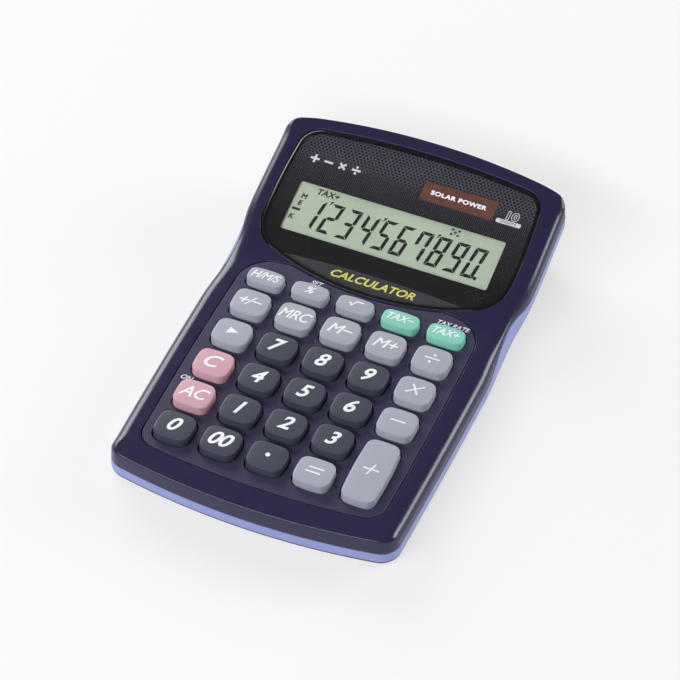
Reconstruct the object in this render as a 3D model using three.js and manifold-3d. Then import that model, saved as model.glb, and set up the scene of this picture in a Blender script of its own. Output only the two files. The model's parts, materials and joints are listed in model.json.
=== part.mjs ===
// A compact splash-proof desk calculator, in millimetres, +Z up.
// The origin is on the standing plane under the middle of the case; +Y points to the display end.
import * as THREE from 'three';
import { mergeVertices } from 'three/addons/utils/BufferGeometryUtils.js';
import Module from 'manifold-3d';

const wasm = await Module();
wasm.setup();

// ---------------------------------------------------------------- driving dimensions

// Whole case, seen from above
const CASE_LENGTH = 169.6;
const CASE_WIDTH = 109.4;
const CASE_WIDEST_Y = 22.9;
const CASE_SIDE_RADIUS = 3000;
const CASE_END_RADIUS = 268;
const FRONT_CORNER = 7.5;
const BACK_CORNER = 6;
const WAIST_PINCH = 1.1;
const DISPLAY_FLARE = 0.8;

// Side profile: a level keypad that turns up into a sloping display
const KEYPAD_HEIGHT = 12.4;
const DISPLAY_TILT = THREE.MathUtils.degToRad(16.7);
const BEND_Y = 22.9;
const BEND_REACH = 5.5;

// Bands of the side wall, measured down from the upper face
const TOP_CASE_DEPTH = 6.3;
const BAND_HEIGHT = 4.2;
const WAVE_RISE = 4.1;
const WAVE_Y = 24.7;
const WAVE_FRONT_REACH = 25;
const WAVE_BACK_REACH = 18;
const WAVE_SCALLOP = 1.2;
const TOP_DRAFT = 0.2;
const SEAM_INSET = 0.15;
const LEAST_SIDE = 0.4;
const SIDE_EDGE_ROUND = 4.8;
const END_EDGE_ROUND = 0.9;
const EDGE_BLEND = 14;

// Walls and clearances
const TOP_WALL = 3.6;
const SIDE_WALL = 2.5;
const SEAM_GAP = 0.3;
const FIT_GAP = 0.35;
const REST_GAP = 0.3;
const PANEL_PROUD = -0.1;

// Keys
const COLUMN_PITCH = 17.2;
const ROW_PITCH = 15.5;
const FIRST_ROW_Y = -0.9;
const SMALL_ROW_OFFSET = 13.2;
const KEY_WIDTH = 14.0;
const KEY_DEPTH = 12.1;
const SMALL_KEY_DEPTH = 7.9;
const KEY_RISE = 2.9;
const KEY_CLEARANCE = 0.45;
const KEY_TRAVEL = 1.2;
const KEY_DRAFT = 0.3;
const KEY_EDGE_DEPTH = 0.5;
const KEY_EDGE_INSET = 0.8;
const FLANGE_LIP = 1.1;
const FLANGE_THICKNESS = 0.8;

// Keypad panel
const PANEL_WIDTH = 90.8;
const PANEL_FRONT_MARGIN = 9.9;
const PANEL_BACK_Y = 24.1;
const PANEL_THICKNESS = 1.6;
const PANEL_LEDGE = 2.0;
const PANEL_END_LEDGE = 2.6;

// Display window and what lies under it
const WINDOW_WIDTH = 95.6;
const WINDOW_FRONT_Y = 20.3;
const WINDOW_BACK_MARGIN = 5.6;
const WINDOW_THICKNESS = 1.6;
const WINDOW_FRONT_RADIUS = 105;
const WINDOW_RIB = 0.6;
const WINDOW_REST = 0.15;
const LCD_VIEW_WIDTH = 79.6;
const LCD_VIEW_DEPTH = 20.4;
const LCD_VIEW_START = 13.95;
const LCD_MARGIN = 2;
const LCD_GLASS_THICKNESS = 1.6;
const LCD_FRAME_WIDTH = 2.4;
const LCD_FRAME_THICKNESS = 1.3;
const SOLAR_WIDTH = 28.7;
const SOLAR_DEPTH = 8.1;
const SOLAR_X = 17.2;
const SOLAR_START = 40.9;
const SOLAR_MARGIN = 1;
const SOLAR_THICKNESS = 1.1;

// Inside
const PCB_HEIGHT = 5.6;
const PCB_THICKNESS = 1.2;
const MAT_THICKNESS = 0.5;
const FLOOR_HEIGHT = 0.6;
const FLOOR_WALL = 1.8;
const BASE_TAPER = Math.tan(THREE.MathUtils.degToRad(20));
const SCREW_SHANK = 2.4;
const SCREW_HEAD = 4.6;
const CELL_DIAMETER = 20;
const CELL_THICKNESS = 2.5;
const COVER_WIDTH = 40;
const COVER_DEPTH = 26;
const COVER_THICKNESS = 1.6;
const BAY_Y = 51;
const BAY_WALL = 4;
const FOOT_DIAMETER = 11;
const FOOT_POCKET = 0.7;
const FOOT_CHAMFER = 0.5;

// How far a cutting body reaches past the face it opens
const OVERCUT = 2;

// ---------------------------------------------------------------- materials

const PAINT = {
  navy: [0x2e2c49, 0.35, 0],
  panel: [0x3d3955, 0.55, 0],
  periwinkle: [0x8a92c6, 0.45, 0],
  base: [0x5c5c6b, 0.7, 0],
  greyKey: [0xaaaeb9, 0.5, 0],
  darkKey: [0x464956, 0.5, 0],
  pinkKey: [0xd1a6b3, 0.5, 0],
  greenKey: [0x8fd1c1, 0.5, 0],
  window: [0x141416, 0.1, 0],
  lcd: [0x9aa793, 0.3, 0],
  solar: [0x5d3a30, 0.2, 0],
  rubber: [0x2b2b2e, 0.9, 0],
  silicone: [0xd8d8d4, 0.8, 0],
  board: [0x2f6b43, 0.6, 0],
  chip: [0x1a1a1a, 0.5, 0],
  steel: [0xb9bcc2, 0.3, 1],
  ribbon: [0xb08a4a, 0.5, 0],
};

const calculator = new THREE.Group();

function addPart(name, geometry, paint) {
  const [color, roughness, metalness] = PAINT[paint];
  const mesh = new THREE.Mesh(geometry, new THREE.MeshStandardMaterial({ color, roughness, metalness }));
  mesh.name = name;
  calculator.add(mesh);
  return mesh;
}

// ---------------------------------------------------------------- solids

function toSolid(geometry) {
  const bare = geometry.index ? geometry.clone() : geometry;
  bare.deleteAttribute('normal');
  bare.deleteAttribute('uv');
  const merged = mergeVertices(bare, 1e-5);
  return new wasm.Manifold(new wasm.Mesh({
    numProp: 3,
    vertProperties: new Float32Array(merged.attributes.position.array),
    triVerts: new Uint32Array(merged.index.array),
  }));
}

function toGeometry(solid) {
  const mesh = solid.getMesh();
  const geometry = new THREE.BufferGeometry();
  geometry.setAttribute('position', new THREE.BufferAttribute(new Float32Array(mesh.vertProperties), 3));
  geometry.setIndex(new THREE.BufferAttribute(new Uint32Array(mesh.triVerts), 1));
  return geometry;
}

function cut(solid, ...tools) {
  return tools.reduce((rest, tool) => rest.subtract(tool), solid);
}

function join(solid, ...others) {
  return others.reduce((whole, other) => whole.add(other), solid);
}

function geometryFrom(positions, triangles) {
  const geometry = new THREE.BufferGeometry();
  geometry.setAttribute('position', new THREE.Float32BufferAttribute(positions, 3));
  geometry.setIndex(triangles);
  return geometry;
}

// A box given by its lowest and highest corners
function boxGeometry([x0, y0, z0], [x1, y1, z1]) {
  const geometry = new THREE.BoxGeometry(x1 - x0, y1 - y0, z1 - z0);
  geometry.translate((x0 + x1) / 2, (y0 + y1) / 2, (z0 + z1) / 2);
  return geometry;
}

const box = (low, high) => toSolid(boxGeometry(low, high));

// An upright cylinder standing at (x, y) from z0 to z1
function cylinder(x, y, radius, z0, z1, sides = 16) {
  const geometry = new THREE.CylinderGeometry(radius, radius, z1 - z0, sides);
  geometry.rotateX(Math.PI / 2);
  geometry.translate(x, y, (z0 + z1) / 2);
  return toSolid(geometry);
}

// Turns a geometry made in the display's own frame (x, along the slope, out of the face) into place
function onDisplay(geometry) {
  geometry.rotateX(DISPLAY_TILT);
  geometry.translate(0, BEND_Y, KEYPAD_HEIGHT);
  return geometry;
}

const displayBox = (low, high) => toSolid(onDisplay(boxGeometry(low, high)));

// ---------------------------------------------------------------- shape of the case

const SLOPE = Math.tan(DISPLAY_TILT);
const FRONT_Y = -CASE_LENGTH / 2;
const BACK_Y = CASE_LENGTH / 2;

// Height of the case's upper face at y
function upperFace(y) {
  const t = y - BEND_Y;
  if (t <= -BEND_REACH) return KEYPAD_HEIGHT;
  if (t >= BEND_REACH) return KEYPAD_HEIGHT + SLOPE * t;
  return KEYPAD_HEIGHT + SLOPE * (t + BEND_REACH) ** 2 / (4 * BEND_REACH);
}

// 0 away from the finger grips at the waist, 1 where the seam between the cases rises highest
function wave(y) {
  const reach = y < WAVE_Y ? WAVE_FRONT_REACH : WAVE_BACK_REACH;
  const t = Math.min(1, Math.abs(y - WAVE_Y) / reach);
  return 0.5 + 0.5 * Math.cos(Math.PI * t);
}

// 0 along the keypad, 1 along the display, which is a little wider
function flare(y) {
  return THREE.MathUtils.smoothstep(y, WAVE_Y, WAVE_Y + 1.4 * WAVE_BACK_REACH);
}

// Side face only: the wave runs along the long sides, not round the ends
const seam = (y) => upperFace(y) - TOP_CASE_DEPTH + WAVE_RISE * wave(y);
const bandFoot = (y) => upperFace(y) - TOP_CASE_DEPTH - BAND_HEIGHT;

// Levels along a long side: even steps, or close together through the wave and the bend
function sideLevels(spec, from, to) {
  const levels = [];
  const steps = (a, b, count) => {
    for (let i = 1; i <= count; i += 1) levels.push(a + (b - a) * i / count);
  };
  if (!spec.waveSteps) {
    steps(from, to, spec.sideSteps);
    return levels;
  }
  steps(from, WAVE_Y - WAVE_FRONT_REACH, spec.sideSteps);
  steps(WAVE_Y - WAVE_FRONT_REACH, WAVE_Y + WAVE_BACK_REACH, spec.waveSteps);
  steps(WAVE_Y + WAVE_BACK_REACH, to, spec.sideSteps);
  return levels;
}

// Outline with four arc sides and four round corners, symmetrical about x = 0.
// Points run from the middle of the front end up the right side to the back, then down the left.
function outline(spec, inset = 0) {
  const halfWidth = spec.width / 2 - inset;
  const front = spec.front + inset;
  const back = spec.back - inset;
  const sideR = spec.sideRadius - inset;
  const side = new THREE.Vector2(halfWidth - sideR, spec.widestY);
  const points = [new THREE.Vector2(0, front)];
  const ends = [
    { y: front, radius: spec.frontRadius - inset, corner: spec.frontCorner - inset, sign: 1 },
    { y: back, radius: spec.backRadius - inset, corner: spec.backCorner - inset, sign: -1 },
  ].map((end) => {
    const corner = Math.max(end.corner, spec.leastCorner);
    const centre = new THREE.Vector2(0, end.y + end.sign * end.radius);
    const a = end.radius - corner;
    const b = sideR - corner;
    const gap = side.clone().sub(centre);
    const d = gap.length();
    const along = (a * a - b * b + d * d) / (2 * d);
    const across = Math.sqrt(Math.max(a * a - along * along, 0));
    const unit = gap.clone().divideScalar(d);
    const foot = centre.clone().addScaledVector(unit, along);
    const normal = new THREE.Vector2(-unit.y, unit.x).multiplyScalar(Math.sign(-unit.y) * across);
    const middle = foot.clone().add(normal);
    const onEnd = middle.clone().sub(centre).setLength(end.radius).add(centre);
    const onSide = middle.clone().sub(side).setLength(sideR).add(side);
    return { ...end, corner, centre, middle, onEnd, onSide };
  });
  const angle = (p, c) => Math.atan2(p.y - c.y, p.x - c.x);
  const arc = (c, r, a0, a1, steps, skipFirst) => {
    for (let i = skipFirst ? 1 : 0; i <= steps; i += 1) {
      const a = a0 + (a1 - a0) * i / steps;
      points.push(new THREE.Vector2(c.x + r * Math.cos(a), c.y + r * Math.sin(a)));
    }
  };
  const [low, high] = ends;
  arc(low.centre, low.radius, -Math.PI / 2, angle(low.onEnd, low.centre), spec.endSteps, true);
  arc(low.middle, low.corner, angle(low.onEnd, low.middle), angle(low.onSide, low.middle),
    spec.cornerSteps, true);
  sideLevels(spec, low.onSide.y, high.onSide.y).forEach((y) => {
    points.push(new THREE.Vector2(side.x + Math.sqrt(sideR ** 2 - (y - side.y) ** 2), y));
  });
  arc(high.middle, high.corner, angle(high.onSide, high.middle), angle(high.onEnd, high.middle),
    spec.cornerSteps, true);
  arc(high.centre, high.radius, angle(high.onEnd, high.centre), Math.PI / 2, spec.endSteps, true);
  points[points.length - 1].x = 0;
  if (spec.pinch) {
    points.forEach((p) => {
      p.x -= Math.sign(p.x) * (spec.pinch * wave(p.y) - spec.flare * flare(p.y));
    });
  }
  const left = points.slice(1, -1).reverse().map((p) => new THREE.Vector2(-p.x, p.y));
  return points.concat(left);
}

// One ring of points: inset and height may change from point to point
function ring(spec, inset, height) {
  if (typeof inset === 'number' && typeof height === 'number') {
    return outline(spec, inset).map((p) => new THREE.Vector3(p.x, p.y, height));
  }
  return outline(spec, 0).map((p, i) => {
    const d = typeof inset === 'number' ? inset : inset(p);
    const q = d === 0 ? p : outline(spec, d)[i];
    return new THREE.Vector3(q.x, q.y, typeof height === 'number' ? height : height(q.y, q));
  });
}

// Triangles of the flat or singly curved face that closes a ring, by strips from side to side
function capTriangles(count, offset, upward) {
  const mirror = (i) => (count - i) % count;
  const triangles = [];
  const add = (a, b, c) => triangles.push(offset + a, offset + (upward ? b : c), offset + (upward ? c : b));
  for (let i = 0; i < count / 2; i += 1) {
    const rightLow = i;
    const rightHigh = i + 1;
    const leftLow = mirror(i);
    const leftHigh = mirror(i + 1);
    if (rightHigh !== leftHigh) add(rightLow, rightHigh, leftHigh);
    if (rightLow !== leftLow) add(rightLow, leftHigh, leftLow);
  }
  return triangles;
}

// Closed body through rings that run from the bottom up
function loft(rings) {
  const count = rings[0].length;
  const positions = rings.flat().flatMap((p) => [p.x, p.y, p.z]);
  const triangles = capTriangles(count, 0, false);
  for (let level = 0; level < rings.length - 1; level += 1) {
    for (let i = 0; i < count; i += 1) {
      const a = level * count + i;
      const b = level * count + (i + 1) % count;
      triangles.push(a, b, b + count, a, b + count, a + count);
    }
  }
  triangles.push(...capTriangles(count, (rings.length - 1) * count, true));
  return geometryFrom(positions, triangles);
}

// Closed hoop whose section is given by rings listed anticlockwise, seen with the outside on the right
function hoop(rings) {
  const count = rings[0].length;
  const positions = rings.flat().flatMap((p) => [p.x, p.y, p.z]);
  const triangles = [];
  for (let level = 0; level < rings.length; level += 1) {
    const here = level * count;
    const next = ((level + 1) % rings.length) * count;
    for (let i = 0; i < count; i += 1) {
      const j = (i + 1) % count;
      triangles.push(here + i, here + j, next + j, here + i, next + j, next + i);
    }
  }
  return geometryFrom(positions, triangles);
}

const CASE = {
  width: CASE_WIDTH,
  front: FRONT_Y,
  back: BACK_Y,
  widestY: CASE_WIDEST_Y,
  sideRadius: CASE_SIDE_RADIUS,
  frontRadius: CASE_END_RADIUS,
  backRadius: CASE_END_RADIUS,
  frontCorner: FRONT_CORNER,
  backCorner: BACK_CORNER,
  leastCorner: 4,
  pinch: WAIST_PINCH,
  flare: DISPLAY_FLARE,
  endSteps: 4,
  cornerSteps: 4,
  sideSteps: 2,
  waveSteps: 12,
};

// The same outline with fewer points, for the faces inside; a wider end takes more of them
const END_FACET = 27.5;
const INSIDE_END_STEPS = Math.ceil(CASE_WIDTH / 2 / END_FACET);
const INSIDE = { ...CASE, leastCorner: 2, endSteps: INSIDE_END_STEPS, cornerSteps: 2, waveSteps: 7 };

const PANEL = {
  width: PANEL_WIDTH,
  front: FRONT_Y + PANEL_FRONT_MARGIN,
  back: PANEL_BACK_Y,
  widestY: -22,
  sideRadius: 1500,
  frontRadius: 300,
  backRadius: 400,
  frontCorner: 7,
  backCorner: 12,
  leastCorner: 1,
  endSteps: 3,
  cornerSteps: 4,
  sideSteps: 6,
};

// Opening under the panel, which leaves a ledge for it to lie on
const KEY_OPENING = {
  ...PANEL,
  width: PANEL_WIDTH - 2 * PANEL_LEDGE,
  front: PANEL.front + PANEL_END_LEDGE,
  back: FIRST_ROW_Y + SMALL_ROW_OFFSET + SMALL_KEY_DEPTH / 2 + FLANGE_LIP + 2 * FIT_GAP,
  frontRadius: 620,
  backRadius: 4000,
  backCorner: 2.5,
  frontCorner: 3,
};

const WINDOW = {
  width: WINDOW_WIDTH,
  front: WINDOW_FRONT_Y,
  back: BACK_Y - WINDOW_BACK_MARGIN,
  widestY: 49,
  sideRadius: 190,
  frontRadius: WINDOW_FRONT_RADIUS,
  backRadius: 328,
  frontCorner: 14,
  backCorner: 8,
  leastCorner: 1,
  endSteps: 7,
  cornerSteps: 4,
  sideSteps: 4,
};

// Part of the case between two levels below its upper face, inside an outline
function layer(spec, inset, lower, upper) {
  return toSolid(loft([
    ring(spec, inset, (y) => upperFace(y) - lower),
    ring(spec, inset, (y) => upperFace(y) - upper),
  ]));
}

// Open space under a level below the upper face, down past the standing plane
function spaceBelow(spec, inset, upper) {
  return toSolid(loft([
    ring(spec, inset, -OVERCUT),
    ring(spec, inset, (y) => upperFace(y) - upper),
  ]));
}

// ---------------------------------------------------------------- keys

const column = (index) => (index - 2) * COLUMN_PITCH;
const row = (index) => (index === 0 ? FIRST_ROW_Y + SMALL_ROW_OFFSET : FIRST_ROW_Y - (index - 1) * ROW_PITCH);

// Name, column, row, colour and, for the tall key, how many rows it spans
const KEYS = [
  ['key_hms', 0, 0, 'greyKey'],
  ['key_percent', 1, 0, 'greyKey'],
  ['key_root', 2, 0, 'greyKey'],
  ['key_tax_minus', 3, 0, 'greenKey'],
  ['key_tax_plus', 4, 0, 'greenKey'],
  ['key_sign', 0, 1, 'greyKey'],
  ['key_memory_recall', 1, 1, 'greyKey'],
  ['key_memory_minus', 2, 1, 'greyKey'],
  ['key_memory_plus', 3, 1, 'greyKey'],
  ['key_divide', 4, 1, 'greyKey'],
  ['key_shift', 0, 2, 'greyKey'],
  ['key_7', 1, 2, 'darkKey'],
  ['key_8', 2, 2, 'darkKey'],
  ['key_9', 3, 2, 'darkKey'],
  ['key_multiply', 4, 2, 'greyKey'],
  ['key_clear', 0, 3, 'pinkKey'],
  ['key_4', 1, 3, 'darkKey'],
  ['key_5', 2, 3, 'darkKey'],
  ['key_6', 3, 3, 'darkKey'],
  ['key_subtract', 4, 3, 'greyKey'],
  ['key_all_clear', 0, 4, 'pinkKey'],
  ['key_1', 1, 4, 'darkKey'],
  ['key_2', 2, 4, 'darkKey'],
  ['key_3', 3, 4, 'darkKey'],
  ['key_add', 4, 4.5, 'greyKey', 2],
  ['key_0', 0, 5, 'darkKey'],
  ['key_00', 1, 5, 'darkKey'],
  ['key_point', 2, 5, 'darkKey'],
  ['key_equals', 3, 5, 'greyKey'],
].map(([name, col, line, paint, span = 1]) => {
  const depth = line === 0 ? SMALL_KEY_DEPTH : KEY_DEPTH + (span - 1) * ROW_PITCH;
  return { name, paint, x: column(col), y: row(line), depth };
});

// Outline of a key at the level of the panel, centred on the key
function keyOutline(key) {
  return {
    width: KEY_WIDTH,
    front: -key.depth / 2,
    back: key.depth / 2,
    widestY: 0,
    sideRadius: key.depth > KEY_WIDTH ? 150 : 32,
    frontRadius: 36,
    backRadius: 36,
    frontCorner: Math.min(3.3, key.depth * 0.33),
    backCorner: Math.min(3.3, key.depth * 0.33),
    leastCorner: 0.8,
    endSteps: 1,
    cornerSteps: 2,
    sideSteps: 1,
  };
}

const PANEL_TOP = KEYPAD_HEIGHT + PANEL_PROUD;
const PANEL_UNDERSIDE = PANEL_TOP - PANEL_THICKNESS;
const FLANGE_TOP = PANEL_UNDERSIDE - REST_GAP;
const FLANGE_FOOT = FLANGE_TOP - FLANGE_THICKNESS;
const KEY_TOP = KEYPAD_HEIGHT + KEY_RISE;

function moved(points, key) {
  return points.map((p) => new THREE.Vector3(p.x + key.x, p.y + key.y, p.z));
}

// A key: a flange that the panel holds down and a crowned cap that stands out of it
function makeKey(key) {
  const shape = keyOutline(key);
  const levels = [
    [-FLANGE_LIP, FLANGE_FOOT],
    [-FLANGE_LIP, FLANGE_TOP],
    [0, FLANGE_TOP],
    [KEY_DRAFT, KEY_TOP - KEY_EDGE_DEPTH],
    [KEY_EDGE_INSET, KEY_TOP],
  ];
  return loft(levels.map(([inset, z]) => moved(ring(shape, inset, z), key)));
}

function keyHole(key) {
  const shape = keyOutline(key);
  const levels = [PANEL_UNDERSIDE - OVERCUT, KEYPAD_HEIGHT + OVERCUT];
  return toSolid(loft(levels.map((z) => moved(ring(shape, -KEY_CLEARANCE, z), key))));
}

KEYS.forEach((key) => addPart(key.name, makeKey(key), key.paint));

// ---------------------------------------------------------------- screws, feet and their places

const SCREW_X = 45.6;
const SCREW_FRONT_Y = -61;
const SCREW_MIDDLE_Y = -3;
const SCREW_BACK_X = 38;
const SCREW_BACK_Y = 67;

const CASE_SCREWS = [
  ['front_left', -SCREW_X, SCREW_FRONT_Y],
  ['front_right', SCREW_X, SCREW_FRONT_Y],
  ['middle_left', -SCREW_X, SCREW_MIDDLE_Y],
  ['middle_right', SCREW_X, SCREW_MIDDLE_Y],
  ['back_left', -SCREW_BACK_X, SCREW_BACK_Y],
  ['back_right', SCREW_BACK_X, SCREW_BACK_Y],
];

const FOOT_FRONT_X = 36;
const FOOT_FRONT_Y = FRONT_Y + 14;
const FOOT_BACK_X = 30;
const FOOT_BACK_Y = BAY_Y + 2;

const FEET = [
  ['front_left', -FOOT_FRONT_X, FOOT_FRONT_Y],
  ['front_right', FOOT_FRONT_X, FOOT_FRONT_Y],
  ['back_left', -FOOT_BACK_X, FOOT_BACK_Y],
  ['back_right', FOOT_BACK_X, FOOT_BACK_Y],
];

const BASE_BOSS_TOP = 4.6;
const BASE_BOSS_RADIUS = 3.2;
const POST_RADIUS = 2.3;
const HEAD_SEAT = 3.2;
const SCREW_HEAD_HEIGHT = 1.4;
const SCREW_PLAY = 0.3;
const SCREW_TIP = BASE_BOSS_TOP + REST_GAP + 3.2;

// A pan-head screw standing on its head, its axis along Z
function screwGeometry(x, y, headRadius, headFoot, headHeight, shankRadius, tip) {
  const headTop = headFoot + headHeight;
  const profile = [
    [0, headFoot],
    [headRadius * 0.7, headFoot],
    [headRadius, headFoot + headHeight * 0.5],
    [headRadius, headTop],
    [shankRadius, headTop],
    [shankRadius, tip - shankRadius],
    [0, tip],
  ];
  const geometry = new THREE.LatheGeometry(profile.map(([r, z]) => new THREE.Vector2(r, z)), 12);
  geometry.rotateX(Math.PI / 2);
  geometry.translate(x, y, 0);
  return toGeometry(toSolid(geometry));
}

// ---------------------------------------------------------------- places of the display parts

// Corners are given as (x, distance up the slope); heights as distance out of the display's face,
// so they are negative inside the case
const WINDOW_SEAT = WINDOW_THICKNESS - PANEL_PROUD + REST_GAP;
const LCD_TOP = -(WINDOW_SEAT * Math.cos(DISPLAY_TILT) + WINDOW_REST);
const LCD_FOOT = LCD_TOP - LCD_GLASS_THICKNESS;
const LCD_DEPTH = TOP_WALL + OVERCUT;

const grow = (corner, by) => corner.map((v) => v + by);
const lcdLow = [-LCD_VIEW_WIDTH / 2 - LCD_MARGIN, LCD_VIEW_START - LCD_MARGIN];
const lcdHigh = [LCD_VIEW_WIDTH / 2 + LCD_MARGIN, LCD_VIEW_START + LCD_VIEW_DEPTH + LCD_MARGIN];
const solarLow = [SOLAR_X - SOLAR_WIDTH / 2 - SOLAR_MARGIN, SOLAR_START - SOLAR_MARGIN];
const solarHigh = [SOLAR_X + SOLAR_WIDTH / 2 + SOLAR_MARGIN, SOLAR_START + SOLAR_DEPTH + SOLAR_MARGIN];

// ---------------------------------------------------------------- top case

const DECK_INSET = 2.1;

// The edge is softly rounded along the sides and crisp at the two ends
function sidewardness(p) {
  const along = THREE.MathUtils.smoothstep(Math.min(p.y - FRONT_Y, BACK_Y - p.y), 0, EDGE_BLEND);
  const across = THREE.MathUtils.mapLinear(Math.abs(p.x) / (CASE_WIDTH / 2), 0.8, 0.94, 0, 1);
  return along * THREE.MathUtils.clamp(across, 0, 1);
}

function edgeRing(turn) {
  const blend = (side, p) => END_EDGE_ROUND + (side - END_EDGE_ROUND) * sidewardness(p);
  const base = outline(CASE, 0);
  return base.map((p, i) => {
    const wall = TOP_CASE_DEPTH - WAVE_RISE * wave(p.y) - LEAST_SIDE;
    const across = blend(SIDE_EDGE_ROUND, p);
    const down = blend(Math.min(SIDE_EDGE_ROUND, wall), p);
    const draft = TOP_DRAFT * (1 - wave(p.y)) + SEAM_INSET;
    const inset = draft + WAVE_SCALLOP * wave(p.y) * sidewardness(p) + across * (1 - Math.cos(turn));
    const q = outline(CASE, inset)[i];
    return new THREE.Vector3(q.x, q.y, upperFace(q.y) - down * (1 - Math.sin(turn)));
  });
}

const seamInset = (p) => SEAM_INSET + WAVE_SCALLOP * wave(p.y) * sidewardness(p);

function makeTopCase() {
  const outer = toSolid(loft([
    ring(CASE, seamInset, (y) => seam(y)),
    edgeRing(0),
    edgeRing(Math.PI / 8),
    edgeRing(Math.PI / 4),
    edgeRing(Math.PI * 3 / 8),
    edgeRing(Math.PI / 2),
  ]));
  const deck = layer(INSIDE, SIDE_WALL + DECK_INSET, TOP_WALL, 1.2);
  const inside = spaceBelow(INSIDE, SIDE_WALL, TOP_WALL);
  const windowRecess = layer(WINDOW, -FIT_GAP, WINDOW_SEAT, -OVERCUT);
  const windowRib = layer(WINDOW, -FIT_GAP - WINDOW_RIB, TOP_WALL + OVERCUT, -OVERCUT);
  const panelRecess = layer(PANEL, -FIT_GAP, PANEL_THICKNESS - PANEL_PROUD + REST_GAP, -OVERCUT);
  const keyOpening = toSolid(loft([
    ring(KEY_OPENING, 0, -OVERCUT),
    ring(KEY_OPENING, 0, KEYPAD_HEIGHT + OVERCUT),
  ]));
  const openingFor = (low, high) => (
    displayBox([...grow(low, -FIT_GAP), -LCD_DEPTH], [...grow(high, FIT_GAP), OVERCUT])
  );
  const shell = join(cut(outer, inside), deck);
  const posts = CASE_SCREWS.map(([, x, y]) => {
    const foot = BASE_BOSS_TOP + REST_GAP;
    return cut(
      cylinder(x, y, POST_RADIUS, foot, upperFace(y) - TOP_WALL + 0.5),
      cylinder(x, y, SCREW_SHANK / 2 + SCREW_PLAY, 0, SCREW_TIP + OVERCUT, 12),
    );
  });
  const panelSeat = cut(panelRecess, windowRib);
  const displayOpenings = [openingFor(lcdLow, lcdHigh), openingFor(solarLow, solarHigh)];
  const opened = cut(shell, windowRecess, panelSeat, keyOpening, ...displayOpenings);
  return toGeometry(join(opened, ...posts));
}

addPart('top_case', makeTopCase(), 'navy');

function makePanel() {
  const plate = layer(PANEL, 0, PANEL_THICKNESS - PANEL_PROUD, -PANEL_PROUD);
  const windowClear = layer(WINDOW, -FIT_GAP * 2 - WINDOW_RIB, PANEL_THICKNESS + OVERCUT, -OVERCUT);
  return toGeometry(cut(plate, windowClear, ...KEYS.map(keyHole)));
}

addPart('keypad_panel', makePanel(), 'panel');

// ---------------------------------------------------------------- places in the battery bay

const BAY_HALF = [COVER_WIDTH / 2 + BAY_WALL, COVER_DEPTH / 2 + BAY_WALL];
const CELL_HALF = [CELL_DIAMETER / 2 + 4, CELL_DIAMETER / 2 + 0.8];
const BAY_TOP = 7.6;
const COVER_POCKET_TOP = 3.7;
const COVER_SCREW_X = (COVER_WIDTH / 2 + CELL_HALF[0]) / 2;
const COVER_SHANK = 0.9;
const COVER_HEAD = 1.8;
const COVER_HEAD_SEAT = 0.9;

const cellRoom = (top) => box(
  [-CELL_HALF[0], BAY_Y - CELL_HALF[1], 0],
  [CELL_HALF[0], BAY_Y + CELL_HALF[1], top],
);

// ---------------------------------------------------------------- display

const makeWindow = () => toGeometry(layer(WINDOW, 0, WINDOW_THICKNESS - PANEL_PROUD, -PANEL_PROUD));

addPart('display_window', makeWindow(), 'window');

addPart('lcd_glass', onDisplay(boxGeometry([...lcdLow, LCD_FOOT], [...lcdHigh, LCD_TOP])), 'lcd');

// Holds the display glass up against the window from below
function makeLcdFrame() {
  const top = LCD_FOOT - REST_GAP;
  const foot = top - LCD_FRAME_THICKNESS;
  return toGeometry(cut(
    displayBox([...grow(lcdLow, -LCD_FRAME_WIDTH), foot], [...grow(lcdHigh, LCD_FRAME_WIDTH), top]),
    displayBox([...grow(lcdLow, LCD_FRAME_WIDTH), foot - 1], [...grow(lcdHigh, -LCD_FRAME_WIDTH), top + 1]),
  ));
}

addPart('lcd_frame', makeLcdFrame(), 'chip');

addPart('solar_cell', onDisplay(boxGeometry(
  [...solarLow, LCD_TOP - SOLAR_THICKNESS],
  [...solarHigh, LCD_TOP],
)), 'solar');

// ---------------------------------------------------------------- board, switch mat and ribbon

const BOARD_HALF_WIDTH = 42.9;
const BOARD_FRONT = KEY_OPENING.front + 2 * FIT_GAP;
const BOARD_BACK = KEY_OPENING.back - FIT_GAP;
const CHIP_SIZE = 14;
const CHIP_HEIGHT = 1.1;
const CHIP_Y = -2;
const DOME_TOP_RADIUS = 1.9;
const DOME_FOOT_RADIUS = 2.8;
const RIBBON_WIDTH = 40;
const RIBBON_THICKNESS = 0.3;

addPart('circuit_board', boxGeometry(
  [-BOARD_HALF_WIDTH, BOARD_FRONT, PCB_HEIGHT],
  [BOARD_HALF_WIDTH, BOARD_BACK, PCB_HEIGHT + PCB_THICKNESS],
), 'board');

addPart('controller_chip', boxGeometry(
  [-CHIP_SIZE / 2, CHIP_Y - CHIP_SIZE / 2, PCB_HEIGHT - REST_GAP - CHIP_HEIGHT],
  [CHIP_SIZE / 2, CHIP_Y + CHIP_SIZE / 2, PCB_HEIGHT - REST_GAP],
), 'chip');

const MAT_FOOT = PCB_HEIGHT + PCB_THICKNESS + REST_GAP;
const DOME_TOP = FLANGE_FOOT - KEY_TRAVEL - REST_GAP;

function makeMat() {
  const sheet = box(
    [-BOARD_HALF_WIDTH, BOARD_FRONT, MAT_FOOT],
    [BOARD_HALF_WIDTH, BOARD_BACK, MAT_FOOT + MAT_THICKNESS],
  );
  const domes = KEYS.map((key) => {
    const foot = MAT_FOOT + MAT_THICKNESS - 0.1;
    const geometry = new THREE.CylinderGeometry(DOME_TOP_RADIUS, DOME_FOOT_RADIUS, DOME_TOP - foot, 8);
    geometry.rotateX(Math.PI / 2);
    geometry.translate(key.x, key.y, (DOME_TOP + foot) / 2);
    return toSolid(geometry);
  });
  return toGeometry(join(sheet, ...domes));
}

addPart('switch_mat', makeMat(), 'silicone');

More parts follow.
